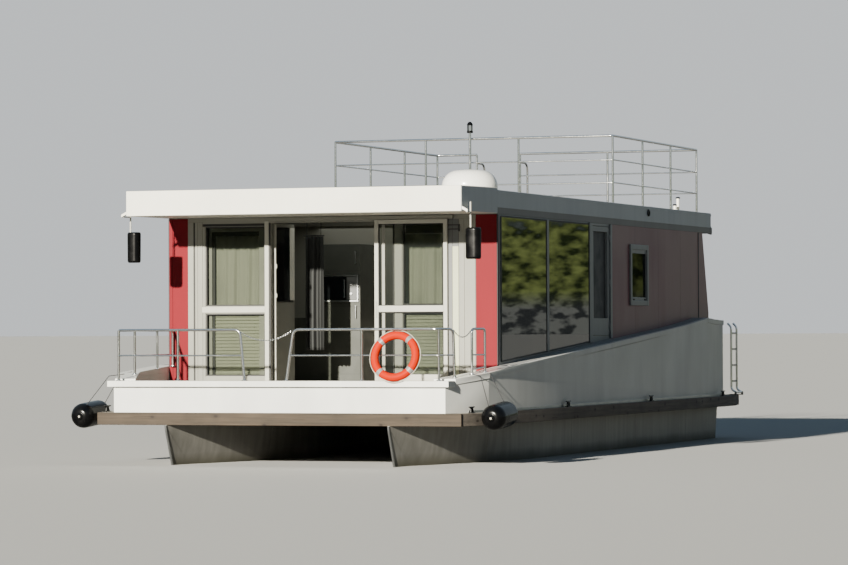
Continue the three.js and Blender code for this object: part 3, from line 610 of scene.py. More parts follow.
def flange(bm, foot, normal=(0, 0, 1), radius=0.042, height=0.007, tube=0.017):
    matrix = Matrix.Translation(foot) @ Vector(normal).to_track_quat("Z", "Y").to_matrix().to_4x4()
    turned(bm, [(0, 0), (radius, 0), (radius, height * 0.7), (radius * 0.93, height),
                (tube * 1.45, height), (tube * 1.25, height * 2.6), (0, height * 2.6)], matrix, 24)
    for i in range(3):
        turn = Matrix.Rotation(math.radians(60 + i * 120), 4, "Z")
        place = Matrix.Translation((radius * 0.75, 0, height * 0.9))
        stamp(bm, bolt, matrix @ turn @ place @ Matrix.Scale(0.55, 4))


# Hulls and the deck they carry
for side, s in bothSides():
    hull = f"hull_{side}"
    softened(hull, "hull_metal", width=0.008)
    seams = bmesh.new()
    for y in (2.2, 5.4, 8.6, 11.4):
        strip(seams, hull, 1, *around(y, 0.006), 0.002)
    made(f"hull_seams_{side}", seams, "hull_metal")
    # the stem bar follows the bow's edge from the deck to the keel
    stem = [(s * 1.57, -0.006, 0.53), (s * 1.57, 0.012, 0.46), (s * 1.57, 0.424, -0.49)]
    tubes(f"stem_bar_{side}", [(stem, 0.016, 0.05)], "aluminium", "stainless")
print("hulls dressed")

softened("bridge_deck", "deck_boards", width=0.004)
for node in ("timber_bow", "timber_stern"):
    softened(node, "bow_timber", "aged_timber", 0.007, 3)
for side, _ in bothSides():
    softened(f"timber_{side}", "side_timber", "aged_timber", 0.007, 3)
softened("deck_base", "deck_boards", width=0.003)

cleat = {"length": 0.21, "height": 0.085, "foot": 0.7, "footTop": 0.712,
         "spots": [(2.585, 0.36), (2.69, 4.16), (2.69, 8.27), (2.69, 12.38)]}


def makeCleats(d):
    cleats = bmesh.new()
    top = d["foot"] + d["height"]
    for _, s in bothSides():
        for x, y in d["spots"]:
            rounded(cleats, around(s * x, 0.028), around(y, 0.065),
                    (d["foot"], d["footTop"]), 0.004)
            for dy in (-0.032, 0.032):
                rod(cleats, (s * x, y + dy, d["footTop"] - 0.004),
                    (s * x, y + dy * 0.8, top - 0.01), 0.017, 0.012)
            for dy in (-1, 1):
                rod(cleats, (s * x, y, top - 0.012), (s * x, y + dy * d["length"] / 2, top - 0.004),
                    0.015, 0.008, 14)
    made("cleats", cleats, "black_metal", width=0.002)


makeCleats(cleat)
print("deck edge dressed")

# Bulwark, rim and the joints of their plates
softened("bulwark", "bulwark", "white_paint", width=0.006)
softened("deck_rim", "bulwark", "white_paint", width=0.012, segments=4)
foot = bmesh.new()
strip(foot, "bulwark", 2, 0.701, 0.733, 0.006, (1, 0.5, 12.9))
made("bulwark_foot_angle", foot, "aluminium", "stainless")
rimJoints, rimTopStrips = bmesh.new(), bmesh.new()
for y in (0.92, 6.4, 11.65):
    strip(rimJoints, "deck_rim", 1, *around(y, 0.0015), 0.0006)
made("rim_joints", rimJoints, "gasket", "black_rubber")
# a darker grey strip over the upward faces of the rim's top, along each side
for _, s in bothSides():
    strip(rimTopStrips, "deck_rim", 0, *off(s, 2.398, 2.585), 0.003, (1, 2.01, 12.6), True)
made("rim_top_grey_strips", rimTopStrips, "rim_top_grey", "black_rubber")

# Front wall, with the heights that its panels, profiles, slots and inner frames share
panelZ, profileZ, slotZ, innerZ = (1.052, 3.322), (1.052, 3.272), (1.06, 3.27), (1.14, 3.215)
for side, s in bothSides():
    softened(f"front_panel_{side}", "red_panel", width=0.002)
    blocks(f"front_panel_edge_{side}", [(off(s, 2.340, 2.388), (1.974, 2.012), panelZ)], 0.003, 2,
           "red_panel")
    blocks(f"corner_trim_{side}", [(off(s, 2.387, 2.401), (1.976, 2.012), panelZ)], 0.003, 2,
           "gasket", "black_rubber")
softened("front_frame", "white_frame", width=0.005, segments=3)
softened("hinged_leaf", "white_frame", width=0.004, segments=3, body="front_hinged_door")


# Rectangular bead in a wall across the boat: outline x, z, its width and how far it stands out
def beadAcross(bm, x, z, width, y, depth, radius=0.003):
    boxes(bm, [(u, (y, y + depth), v) for u, v in bars(x, z, width)], radius, 2)


# Sliding leaf: stiles, rails and a foot, with a bead round each light and a grey inner stile
leaf = {"x": (0.656, 1.700), "stile": 0.056, "y": (1.930, 1.970), "z": (1.080, 3.270),
        "rail": (2.024, 2.108), "foot": 0.10, "feet": (0.706, 1.624), "floor": 1.051,
        "handle": (1.95, 2.17), "innerStile": (0.752, 0.796)}


def makeSlidingLeaf(d):
    (x0, x1), y, (z0, z1), t = d["x"], d["y"], d["z"], d["stile"]
    body, between = "front_sliding_door", (x0 + t - 0.001, x1 - t + 0.001)
    lights = ((z0 + d["foot"], d["rail"][0]), (d["rail"][1], z1 - t))
    bm, beads = bmesh.new(), bmesh.new()
    boxes(bm, [(x, y, (z0, z1)) for x in ((x0, x0 + t), (x1 - t, x1))], 0.006)
    boxes(bm, [(between, (y[0] + 0.001, y[1]), z)
               for z in ((z0, z0 + d["foot"]), d["rail"], (z1 - t, z1))], 0.005)
    boxes(bm, [(around(x, 0.045), (y[0] + 0.008, y[0] + 0.032), (d["floor"], z0 + 0.004))
               for x in d["feet"]], 0.002, 2)
    rounded(bm, (x0 + 0.018, x0 + 0.038), (y[0] - 0.014, y[0] + 0.002), d["handle"], 0.006)
    made("sliding_leaf_frame", bm, "leaf_frame", "white_frame", body, ["sliding_leaf"])
    for low, high in lights:
        beadAcross(beads, between, (low - 0.001, high + 0.001), 0.010, y[0] + 0.012, 0.026, 0.002)
    made("sliding_leaf_gaskets", beads, "gasket", "black_rubber", body)
    blocks("sliding_leaf_inner_stile",
           [(d["innerStile"], (y[1] - 0.009, y[1] - 0.001), (low + 0.009, high - 0.009))
            for low, high in lights], 0.002, 2, "white_frame", None, body)


makeSlidingLeaf(leaf)

# Fixed lights: beads and gaskets at the opening, then a grey inner frame behind the pane
frontBeads, frontGaskets = bmesh.new(), bmesh.new()
for x in ((-1.856, -0.960), (1.034, 1.634)):
    for z in ((1.15, 2.02), (2.11, 3.215)):
        beadAcross(frontBeads, grown(x, 0.004), grown(z, 0.004), 0.012, 1.992, 0.046)
        beadAcross(frontGaskets, grown(x, -0.007), grown(z, -0.007), 0.018, 2.000, 0.040, 0.002)
made("front_beads", frontBeads, "white_frame")
blocks("front_inner_frames", [(x, (2.056, 2.066), z) for x, z in (
    ((-1.834, -1.783), innerZ), ((-1.082, -1.004), innerZ), ((-1.783, -1.082), (3.140, 3.205)),
    ((0.996, 1.030), innerZ))], 0.002, 2, "white_frame")
boxes(frontGaskets, [(x, (2.058, 2.064), z) for x, z in (
    ((-1.781, -1.738), (1.14, 3.14)), ((-1.781, -1.082), (3.086, 3.138)),
    ((1.060, 1.620), (3.090, 3.200)))], 0.002, 2)
made("front_gaskets", frontGaskets, "gasket", "black_rubber")

# Cover profiles of the wall, from starboard to port: x from, x to, how far it stands out
blocks("front_profiles", [((a, b), (1.982 - out, 1.984), profileZ) for a, b, out in (
    (-2.106, -2.023, 0.010), (-2.002, -1.966, 0.006), (-1.961, -1.889, 0.009),
    (1.851, 1.928, 0.008), (1.932, 2.086, 0.010))], 0.004, 3, "white_frame")
blocks("front_bright_rails", [((-1.898, -0.964), (1.972, 1.984), (2.028, 2.106)),
                              ((-0.966, -0.906), (1.974, 1.984), (1.060, 3.272))],
       0.004, 3, "leaf_frame", "white_frame")

# Dark slots between the profiles, and the faces that line the one beside the port panel: grey
# painted shade down its recessed side and painted shadow above the cream
slots, hingeSlotZ, lineY = bmesh.new(), (1.08, 3.252), (1.9775, 1.984)
for x, z in (((-2.023, -2.002), slotZ), ((-0.905, -0.8795), hingeSlotZ),
             ((-1.888, -0.967), (3.213, 3.247)), ((0.9045, 0.928), hingeSlotZ),
             ((1.684, 1.702), slotZ), ((1.757, 1.7605), slotZ), ((1.8455, 1.851), slotZ)):
    brick(slots, x, (1.9785, 1.983), z)
boxes(slots, [((1.704, 1.862), (1.952, 1.966), around(z, 0.007)) for z in (3.131, 3.187)]
      + [((1.850, 1.866), (1.950, 1.980), (3.10, 3.197))], 0.003, 2)
made("front_slots", slots, "gasket", "black_metal")
# painted shade in grey: the recessed side of the slot, and the canopy's shadow on the cream from z
# 2.9 up
blocks("front_slot_painted_shade", [((1.702, 1.757), lineY, slotZ), ((1.7605, 1.8455), lineY, (2.9, 3.27))],
       0.002, 2, "slot_grey", "grey_frame")
blocks("front_slot_cream", [((1.7605, 1.8455), lineY, (1.06, 2.9))], 0.002, 2, "slot_cream",
       "white_frame")

# Hinged leaf: a lip on its free edge with two catches, and a cream lining at the far stile
blocks("hinged_leaf_lip", [((-0.869, -0.851), (2.100, 2.132), (1.09, 3.235))]
       + [((-0.853, -0.838), (2.106, 2.124), around(z, 0.03)) for z in (2.26, 2.66)],
       0.004, 3, "leaf_frame", "white_frame", "front_hinged_door")
blocks("hinged_leaf_lining", [((-0.866, -0.860), (2.640, 2.812), (2.20, 3.20))], 0.002, 2,
       "white_paint", "white_frame", "front_hinged_door")
skinned("front_glass_starboard", "front_glass")
for node in ("front_glass_port", "sliding_glass", "hinged_glass"):
    skinned(node, "leaf_glass")
print("front wall dressed")

# Side walls
sillLine = [(0.24, 1.145), (0.9, 1.218), (1.6, 1.272), (4.0, 1.425), (6.0, 1.547), (8.0, 1.675),
            (10.2, 1.825), (11.4, 1.928), (11.65, 1.953), (12.4, 1.925), (13.3, 1.915)]


def rimTop(y):
    for (y0, z0), (y1, z1) in zip(sillLine, sillLine[1:]):
        if y <= y1:
            return z0 + (z1 - z0) * (y - y0) / (y1 - y0)


wallTop = 3.32
glazing = {"y": (2.108, 6.088), "beads": ((4.074, 4.09), (4.18, 4.196)), "bead": 0.02,
           "top": 3.288, "overSill": 0.038}
covers = ((6.088, 6.232, 6.1), (7.118, 7.205, 7.1))
claddingJoints = {"y": (8.45, 9.70, 10.95), "gap": 0.0012, "corner": (11.985, 12.020)}


def makeSideWall(side, s, d, joints):
    softened(f"side_frame_{side}", "grey_frame", width=0.004)
    softened(f"side_panel_{side}", "dark_panel", width=0.002)
    softened(f"side_door_{side}", "grey_frame", width=0.004, body=f"{side}_side_door")
    skinned(f"side_glass_{side}", "window_glass" if side == "port" else "clear_glass")
    skinned(f"side_door_glass_{side}", "fly_screen")
    cladding = bmesh.new()
    for y in joints["y"]:
        brick(cladding, off(s, 2.3938, 2.3944), around(y, joints["gap"]),
              (1.66, wallTop))
    rounded(cladding, off(s, 2.392, 2.400), joints["corner"], (1.95, wallTop), 0.002, 2)
    made(f"cladding_joints_{side}", cladding, "gasket", "black_rubber")
    face, (y0, y1), bead = off(s, 2.4035, 2.409), d["y"], d["bead"]
    gaskets = boxes(bmesh.new(), [(face, y, (rimTop(y[0]) + 0.05, 3.305)) for y in (
        (y0, y0 + bead), (y1 - bead, y1), *d["beads"])], 0.002, 2)
    for z0, z1 in ((rimTop(y0) + d["overSill"], rimTop(y1) + d["overSill"]), (d["top"], d["top"])):
        raised(gaskets, [(face[0], y0, z0), (face[0], y1, z1), (face[0], y1, z1 + bead),
                         (face[0], y0, z0 + bead)], (face[1] - face[0], 0, 0))
    made(f"side_gaskets_{side}", gaskets, "gasket", "black_rubber")
    mullion = bmesh.new()
    rounded(mullion, off(s, 2.4035, 2.414), (4.092, 4.178), (rimTop(4.1) + 0.04, 3.306), 0.003)
    boxes(mullion, [(off(s, 2.392, 2.416), (a, b), (rimTop(foot) + 0.03, wallTop))
                    for a, b, foot in covers], 0.004)
    made(f"side_covers_{side}", mullion, "grey_frame")


for side, s in bothSides():
    makeSideWall(side, s, glazing, claddingJoints)

# Small windows in the clad panels: a frame that stands proud, an inner sash, a pane, two catches
smallWindow = {"y": (8.22, 9.05), "z": (2.19, 3.00), "frameY": (8.14, 9.085),
               "frameZ": (2.135, 3.052), "border": 0.075, "proud": 0.030,
               "sash": (0.045, 0.07, 0.08)}


def makeSmallWindow(w, side, s):
    (y0, y1), (z0, z1) = w["y"], w["z"]
    face = off(s, 2.394, 2.394 + w["proud"])
    blocks(f"window_frame_{side}", [
        (face, y, z) for y, z in bars(w["frameY"], w["frameZ"], w["border"])],
        0.006, 3, "grey_frame")
    blocks(f"window_sash_{side}", [
        (off(s, 2.338, 2.406), y, z) for y, z in bars(w["y"], w["z"], *w["sash"])],
        0.004, 2, "grey_frame")
    blocks(f"window_pane_{side}", [
        (off(s, 2.376, 2.388), (y0 + 0.035, y1 - 0.035), (z0 + 0.06, z1 - 0.07))],
        0.002, 2, "dark_glass", "window_glass")
    blocks(f"window_catches_{side}", [
        (off(s, 2.404, 2.418), around(y, 0.03), (z0 + 0.022, z0 + 0.048))
        for y in (y0 + 0.12, y1 - 0.12)], 0.004, 2, "black_metal")


for side, s in bothSides():
    makeSmallWindow(smallWindow, side, s)
print("side walls dressed")

# Rear wall
softened("rear_wall", "dark_panel", width=0.004)
softened("rear_door", "white_frame", width=0.004, body="rear_door")
skinned("rear_door_glass", "dark_glass")
rearWindow = {"x": (-1.70, -0.70), "z": (2.0, 2.9), "paneY": (12.045, 12.055), "play": 0.001,
              "overlap": 0.035, "frame": 0.055, "frameY": 12.079, "frameDepth": 0.014,
              "gasket": 0.012, "gasketY": 12.056, "gasketDepth": 0.02}


def makeRearWindow(w):
    x, z, play, over = w["x"], w["z"], w["play"], w["overlap"]
    blocks("rear_window_pane", [(grown(x, -play), w["paneY"], grown(z, -play))], 0.002, 2,
           "dark_glass", "window_glass")
    frameBm, gasketBm = bmesh.new(), bmesh.new()
    beadAcross(frameBm, grown(x, over), grown(z, over), w["frame"], w["frameY"], w["frameDepth"])
    made("rear_window_frame", frameBm, "white_frame")
    beadAcross(gasketBm, x, z, w["gasket"], w["gasketY"], w["gasketDepth"], 0.002)
    made("rear_window_gasket", gasketBm, "gasket", "black_rubber")


makeRearWindow(rearWindow)

# Roof: fascia trim, a felt sheet in laps, and the raised canopy ahead of it; their sides take white
# paint with painted shade
softened("ceiling_band", "grey_band", width=0.005)
# the roof's sides: white paint with painted shade
softened("roof_slab", "white_paint_painted_shade", "white_paint", width=0.010, segments=4)
canopy = {"aft": 1.9, "middle": 3.5, "topLift": 0.020, "underLift": 0.010}
canopyBody = copyOf("roof_front")
for v in canopyBody.verts:
    if v.co.y > canopy["aft"]:
        v.co.z += canopy["topLift"] if v.co.z > canopy["middle"] else canopy["underLift"]
made("roof_front_body", canopyBody, "white_paint", replaces=["roof_front"], width=0.010,
     segments=4)
canopySideShade, spouts, edgeTrim, sheet = (bmesh.new(), [], bmesh.new(), bmesh.new())
for _, s in bothSides():
    raised(canopySideShade, [(s * 2.3875, 0.562, 3.330), (s * 2.3875, 0.562, 3.650),
                    (s * 2.400, 1.980, 3.671), (s * 2.400, 1.980, 3.341)],
           (s * 0.0025, 0, 0), 0.001, 1)
    spouts.append(([(s * 2.335, 12.80, 3.336), (s * 2.345, 12.96, 3.322)], 0.016, 0))
# thin plates on each side of the canopy carry the painted shade over its white paint
made("canopy_side_painted_shade", canopySideShade, "white_paint_painted_shade", "white_paint")
tubes("gutter_spouts", spouts, "grey_frame")
# edge trims of the roof's sides, in the same painted shade
for low, high in ((3.606, 3.630), (3.420, 3.434)):
    strip(edgeTrim, "roof_slab", 2, low, high, 0.004)
made("roof_edge_trim", edgeTrim, "white_paint_painted_shade", "white_paint")
roof = {"half": 2.372, "fore": 1.995, "aft": 12.732, "top": 3.650, "laps": 1.06, "lapHalf": 0.04}
rounded(sheet, (-roof["half"], roof["half"]), (roof["fore"], roof["aft"]),
        (roof["top"] - 0.002, roof["top"] + 0.004), 0.002, 1)
lapY = roof["fore"] + roof["laps"]
while lapY < roof["aft"] - 0.3:
    rounded(sheet, (-roof["half"] + 0.004, roof["half"] - 0.004),
            around(lapY, roof["lapHalf"]),
            (roof["top"] + 0.003, roof["top"] + 0.0065), 0.001, 1)
    lapY += roof["laps"]
made("roof_sheet", sheet, "roof_sheet", "white_paint")
print("roof dressed")

# Railing round the sun deck
deckRail = {"half": 2.23, "fore": 7.88, "aft": 12.55, "top": 4.67, "mids": (3.97, 4.31),
            "gap": (-1.53, -0.78), "extraPost": 0.72, "roof": 3.652}


def thirds(a, b):
    return [a, a + (b - a) / 3, b - (b - a) / 3, b]


def makeDeckRail(r):
    half, fore, aft = r["half"], r["fore"], r["aft"]
    loop = [(r["gap"][0], aft), (-half, aft), (-half, fore), (half, fore), (half, aft),
            (r["gap"][1], aft)]
    routes = [([(x, y, r["top"]) for x, y in loop], 0.0185, 0.05)]
    routes += [([(x, y, z) for x, y in loop], 0.011, 0.03) for z in r["mids"]]
    posts = [(x, fore) for x in thirds(-half, half)]
    posts += [(s * half, y) for y in thirds(fore, aft)[1:] for s in (-1, 1)]
    posts += [(x, aft) for x in (*r["gap"], r["extraPost"])]
    inset = 0.008  # the corner posts stand inside the rail's bend
    feet = bmesh.new()
    for x, y in posts:
        corner = abs(x) == half and y in (fore, aft)
        if corner:
            x -= math.copysign(inset, x)
            y += inset if y == fore else -inset
        routes.append(([(x, y, r["roof"]), (x, y, r["top"] - 0.004)], 0.017, 0))
        flange(feet, (x, y, r["roof"]))
    tubes("sun_deck_rail", routes, "stainless", replaces=["roof_railing"])
    made("sun_deck_feet", feet, "stainless")


makeDeckRail(deckRail)

ladder = {"x": (-1.53, -0.78), "y": 12.93, "top": 4.53, "tie": 3.54, "rungs": 9,
          "first": 1.31, "pitch": 0.28}


def makeRoofLadder(d):
    routes, feet, treads = [], bmesh.new(), bmesh.new()
    for x in d["x"]:
        routes.append(([(x, d["y"], 1.052), (x, d["y"], d["top"]), (x, 12.552, d["top"])],
                       0.017, 0.15))
        routes.append(([(x, 12.762, d["tie"]), (x, d["y"], d["tie"])], 0.012, 0))
        flange(feet, (x, d["y"], 1.05))
        flange(feet, (x, 12.76, d["tie"]), (0, 1, 0), 0.032, 0.006, 0.012)
    for i in range(d["rungs"]):
        z = d["first"] + i * d["pitch"]
        routes.append(([(d["x"][0], d["y"], z), (d["x"][1], d["y"], z)], 0.014, 0))
        rounded(treads, (d["x"][0] + 0.03, d["x"][1] - 0.03), (d["y"] - 0.022, d["y"] + 0.022),
                (z + 0.006, z + 0.017), 0.004)
    tubes("roof_ladder_tubes", routes, "stainless", replaces=["roof_ladder"])
    made("roof_ladder_feet", feet, "stainless")
    made("roof_ladder_treads", treads, "gasket", "black_rubber")


makeRoofLadder(ladder)
print("sun deck railed")

# Dome, light mast, roof vents and the lamp on the fascia
dome = {"x": 1.500, "y": 3.45, "radius": 0.386, "height": 0.35, "shoulder": 0.22, "crown": 0.012,
        "roof": 3.652}


def makeDome(d):
    bm = bmesh.new()
    base = d["roof"]
    profile = [(0, 0), (d["radius"], 0), (d["radius"], 0.02)]
    rise = d["height"] - d["crown"] - d["shoulder"] - 0.004
    for i in range(13):
        turn = i / 12 * math.pi / 2
        profile.append((d["radius"] - d["shoulder"] * (1 - math.cos(turn)),
                        rise + d["shoulder"] * math.sin(turn)))
    profile += [(d["radius"] * 0.2, d["height"] - 0.006), (0, d["height"] - 0.004)]
    turned(bm, profile, Matrix.Translation((d["x"], d["y"], base)), 72)
    made("dome_shell", bm, "gelcoat", replaces=["roof_dome"], sharp=50)
    rim = bmesh.new()
    turned(rim, [(d["radius"] - 0.02, 0), (d["radius"] + 0.012, 0), (d["radius"] + 0.012, 0.012),
                 (d["radius"] + 0.002, 0.02), (d["radius"] - 0.02, 0.02), (d["radius"] - 0.02, 0)],
           Matrix.Translation((d["x"], d["y"], base)), 72)
    made("dome_foot", rim, "grey_band")


makeDome(dome)

mastPlan = {"x": 0, "y": 7.79, "top": 4.926}


def makeMast(m):
    x, y, top = m["x"], m["y"], m["top"]
    tubes("light_mast_tube", [([(x, y, 3.650), (x, y, top - 0.15)], 0.02, 0)], "stainless",
          replaces=["light_mast"])
    lamp = bmesh.new()
    place = Matrix.Translation((x, y, top - 0.17))
    turned(lamp, [(0, 0), (0.045, 0), (0.047, 0.008), (0.047, 0.03), (0.03, 0.034), (0, 0.034)],
           place, 32)
    turned(lamp, [(0, 0.118), (0.044, 0.118), (0.046, 0.13), (0.03, 0.158), (0.012, 0.17),
                  (0, 0.17)], place, 32)
    for i in range(4):
        turn = Matrix.Rotation(math.radians(45 + 90 * i), 4, "Z")
        a, b = place @ turn @ Vector((0.043, 0, 0.02)), place @ turn @ Vector((0.043, 0, 0.13))
        rod(lamp, a, b, 0.003, sides=8)
    flange(lamp, (x, y, 3.652), radius=0.06, tube=0.02)
    made("mast_lamp_cage", lamp, "black_metal")
    lens = bmesh.new()
    turned(lens, [(0, 0.03), (0.036, 0.03), (0.038, 0.05), (0.038, 0.1), (0.036, 0.119),
                  (0, 0.119)], place, 32)
    made("mast_lamp_lens", lens, "front_glass", "window_glass")


makeMast(mastPlan)

roofVents = {"spots": ((2.0, 12.22, 3.905), (2.0, 12.04, 3.785)), "radius": 0.024, "roof": 3.652}
vents, ventCaps = bmesh.new(), bmesh.new()
for x, y, top in roofVents["spots"]:
    rod(vents, (x, y, roofVents["roof"]), (x, y, top - 0.02), roofVents["radius"])
    flange(vents, (x, y, roofVents["roof"]), radius=0.045, tube=roofVents["radius"])
    turned(ventCaps, [(0, 0), (0.036, 0), (0.038, 0.008), (0.03, 0.022), (0, 0.026)],
           Matrix.Translation((x, y, top - 0.026)), 24)
made("roof_vents", vents, "white_paint")
made("roof_vent_caps", ventCaps, "black_metal")

fasciaLamp = {"x": 2.400, "y": 9.15, "z": 3.551}
sideLamp = bmesh.new()
for _, s in bothSides():
    place = (Matrix.Translation((s * fasciaLamp["x"], fasciaLamp["y"], fasciaLamp["z"]))
             @ Matrix.Rotation(s * math.pi / 2, 4, "Y"))
    turned(sideLamp, [(0, 0), (0.052, 0), (0.055, 0.006), (0.052, 0.018), (0.040, 0.021),
                      (0.036, 0.012), (0, 0.010)], place, 32)
made("fascia_lamps", sideLamp, "black_metal")
print("roof fittings made")

# Bow rails, gate rail and chains
bowRails = {"top": 1.79, "mid": 1.452, "y": 0.095, "tube": 0.0185, "post": 0.017, "thin": 0.011,
            "starboardCorner": -2.30, "starboardSide": (-2.33, 0.69, 1.43, 1.95),
            "portCorner": 2.231, "portSide": (2.35, 2.37, 0.32),
            "gateFeet": (-0.482, 0.113), "gateTops": (-0.545, 0.215), "frontPosts": (-1.433, 1.17)}
gate = {"fore": (2.477, 0.69), "aft": (2.563, 0.96)}
rimBow = 1.119


def makeBowRails(d, g):
    top, mid, y, tube, thin = d["top"], d["mid"], d["y"], d["tube"], d["thin"]
    sideX, fore, middle, aft = d["starboardSide"]
    corner, bow = d["starboardCorner"], rimBow
    starboard = [
        ([(d["gateFeet"][0], y, bow), (d["gateTops"][0], y, top), (corner, y, top),
          (sideX, fore, top), (sideX, aft, top), (sideX, aft, rimTop(aft))], tube, 0.08),
        ([(d["gateFeet"][0] - 0.030, y, mid), (corner, y, mid), (sideX, fore, mid),
          (sideX, aft, mid)], thin, 0.03),
        ([(corner + 0.002, y + 0.012, bow), (corner + 0.002, y + 0.012, top - 0.004)],
         d["post"], 0)]
    starboard += [([(sideX, v, rimTop(v)), (sideX, v, top)], d["post"], 0) for v in (fore, middle)]
    corner, (sideX, footX, aft) = d["portCorner"], d["portSide"]
    port = [
        ([(d["gateFeet"][1], y, bow), (d["gateTops"][1], y, top), (corner, y, top),
          (sideX, aft, top), (footX, aft, rimTop(aft))], tube, 0.08),
        ([(d["gateFeet"][1] + 0.052, y, mid), (corner, y, mid), (sideX + 0.01, aft, mid)],
         thin, 0.03),
        ([(corner - 0.002, y + 0.012, bow), (corner - 0.002, y + 0.012, top - 0.004)],
         d["post"], 0)]
    for routes, x in ((starboard, d["frontPosts"][0]), (port, d["frontPosts"][1])):
        routes.append(([(x, y, bow), (x, y, top)], d["post"], 0))
    tubes("bow_rail_starboard_tubes", starboard, "stainless", replaces=["bow_rail_starboard"])
    tubes("bow_rail_port_tubes", port, "stainless", replaces=["bow_rail_port"])
    a, b = g["fore"], g["aft"]
    hoop = [([(*a, rimTop(a[1])), (*a, top), (*b, top), (*b, rimTop(b[1]))], 0.0175, 0.05),
            ([(*a, mid), (*b, mid)], thin, 0), ([(*a, 1.262), (*b, 1.29)], thin, 0)]
    tubes("gate_rail_tubes", hoop, "stainless", replaces=["gate_rail_port"])
    feet = bmesh.new()
    for x, v in ([(x, y) for x in (*d["gateFeet"], *d["frontPosts"])]
                 + [(d["starboardCorner"] + 0.002, y + 0.012), (corner - 0.002, y + 0.012)]):
        flange(feet, (x, v, bow))
    for x, v in ([(d["starboardSide"][0], v) for v in d["starboardSide"][1:]]
                 + [(footX, aft), a, b]):
        slope = (rimTop(v + 0.05) - rimTop(v - 0.05)) / 0.1
        flange(feet, (x, v, rimTop(v)), (0, -slope, 1))
    made("bow_rail_feet", feet, "stainless")


makeBowRails(bowRails, gate)


def chain(name, start, end, sag, pitch=0.019, wire=0.0028):
    link = bmesh.new()
    ring(link, 0.0075, wire, Matrix.Diagonal((1.65, 1, 1, 1)), 10, 6)
    mesh = keep(link)
    start, end = Vector(start), Vector(end)
    bm = bmesh.new()
    hang = [start.lerp(end, i / 200) - Vector((0, 0, 4 * sag * i / 200 * (1 - i / 200)))
            for i in range(201)]
    travelled, count = 0.0, 0
    for a, b in zip(hang, hang[1:]):
        travelled += (b - a).length
        if travelled >= count * pitch:
            turn = (b - a).to_track_quat("X", "Z").to_matrix().to_4x4()
            roll = Matrix.Rotation(math.pi / 2 * (count % 2) + 0.4, 4, "X")
            stamp(bm, mesh, Matrix.Translation(a) @ turn @ roll)
            count += 1
    made(name, bm, "stainless")


chain("bow_chain", (-0.553, 0.078, 1.775), (0.197, 0.078, 1.772), 0.125)
chain("gate_chain", (2.352, 0.338, 1.772), (2.475, 0.672, 1.775), 0.09)
print("bow railed")

# Lifebuoy with four bands and a grab line
buoy = {"x": 1.66, "y": 0.017, "z": 1.4383, "radius": 0.281, "tube": 0.053, "tilt": 0.26,
        "bands": (51, 136, 229, 320), "band": 10}


def makeBuoy(b):
    place = (Matrix.Translation((b["x"], b["y"], b["z"]))
             @ Matrix.Rotation(math.pi / 2 - b["tilt"], 4, "X"))
    shell = bmesh.new()
    ring(shell, b["radius"], b["tube"], place, 72, 24)
    made("lifebuoy_shell", shell, "orange_shell", replaces=["lifebuoy"])
    bands = bmesh.new()
    for middle in b["bands"]:
        turn = Matrix.Rotation(math.radians(middle - b["band"] / 2), 4, "Z")
        ring(bands, b["radius"], b["tube"] + 0.0012, place @ turn, 5, 24, math.radians(b["band"]))
    made("lifebuoy_bands", bands, "tape", "orange_shell")
    line = []
    for i in range(96):
        turn = i / 96 * 2 * math.pi
        loose = abs(math.sin(2 * (turn - math.radians(45)))) ** 0.7
        reach = b["radius"] + b["tube"] + 0.004 + 0.010 * loose
        line.append(place @ Vector((reach * math.cos(turn), reach * math.sin(turn), 0)))
    tubes("lifebuoy_line", [(line + [line[0]], 0.0045, 0)], "rope", "orange_shell")


makeBuoy(buoy)

# Fenders: long inflated bodies that hang level along the timber, each on two thin lines
fender = {"y": 0.53, "z": 0.665, "radius": 0.168, "half": 0.368, "tilt": 0.073, "line": 0.005,
          "ties": (0.70, 0.95), "tieX": 2.49}


def makeFenders(d):
    r, h = d["radius"], d["half"]
    fenderX = (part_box("fender_port")[0].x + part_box("fender_port")[1].x) / 2
    half = [(0, -h), (0.035, -h), (0.040, -h + 0.008), (0.052, -h + 0.014)]
    for i in range(10):
        turn = i / 9 * math.pi / 2
        half.append((r * (0.33 + 0.66 * math.sin(turn)), -h + 0.014 + 0.13 * (1 - math.cos(turn))))
    half.append((r, -0.05))
    full = half + [(x, -z) for x, z in reversed(half)]
    for side, s in bothSides():
        place = (Matrix.Translation((s * fenderX, d["y"], d["z"]))
                 @ Matrix.Rotation(d["tilt"] - math.pi / 2, 4, "X"))
        skin, ends = bmesh.new(), bmesh.new()
        turned(skin, full, place, 56)
        made(f"fender_{side}_skin", skin, "black_rubber", replaces=[f"fender_{side}"])
        lines = []
        for e, tieY in zip((-1, 1), d["ties"]):
            tip = place @ Matrix.Translation((0, 0, e * h))
            turned(ends, [(0, -0.004), (0.014, -0.004), (0.014, 0.002), (0.009, 0.003), (0, 0.003)],
                   tip, 16)
            eye = place @ Vector((0, -0.03, e * (h - 0.02)))
            foot = Vector((s * d["tieX"], tieY, rimTop(tieY) + 0.006))
            brink = Vector((s * 2.646, tieY + (eye.y - tieY) * 0.3, rimTop(tieY) - 0.02))
            lines.append(([foot, brink, eye], d["line"], 0.01))
        made(f"fender_{side}_plugs", ends, "rope", "black_rubber")
        tubes(f"fender_{side}_lines", lines, "dark_rope", "black_rubber")


makeFenders(fender)
print("lifebuoy and fenders made")

# Mirrors: convex black cases, each on a thin rod from an arm under the canopy's corner
mirrors = {"port": (2.348, 2.562), "starboard": (-2.492, -2.302), "y": (0.752, 0.838),
           "z": (2.702, 3.116), "rodX": 2.432, "rodY": 0.79, "rodTop": 3.45,
           "armX": (2.3884, 2.468), "armY": (0.562, 0.608)}


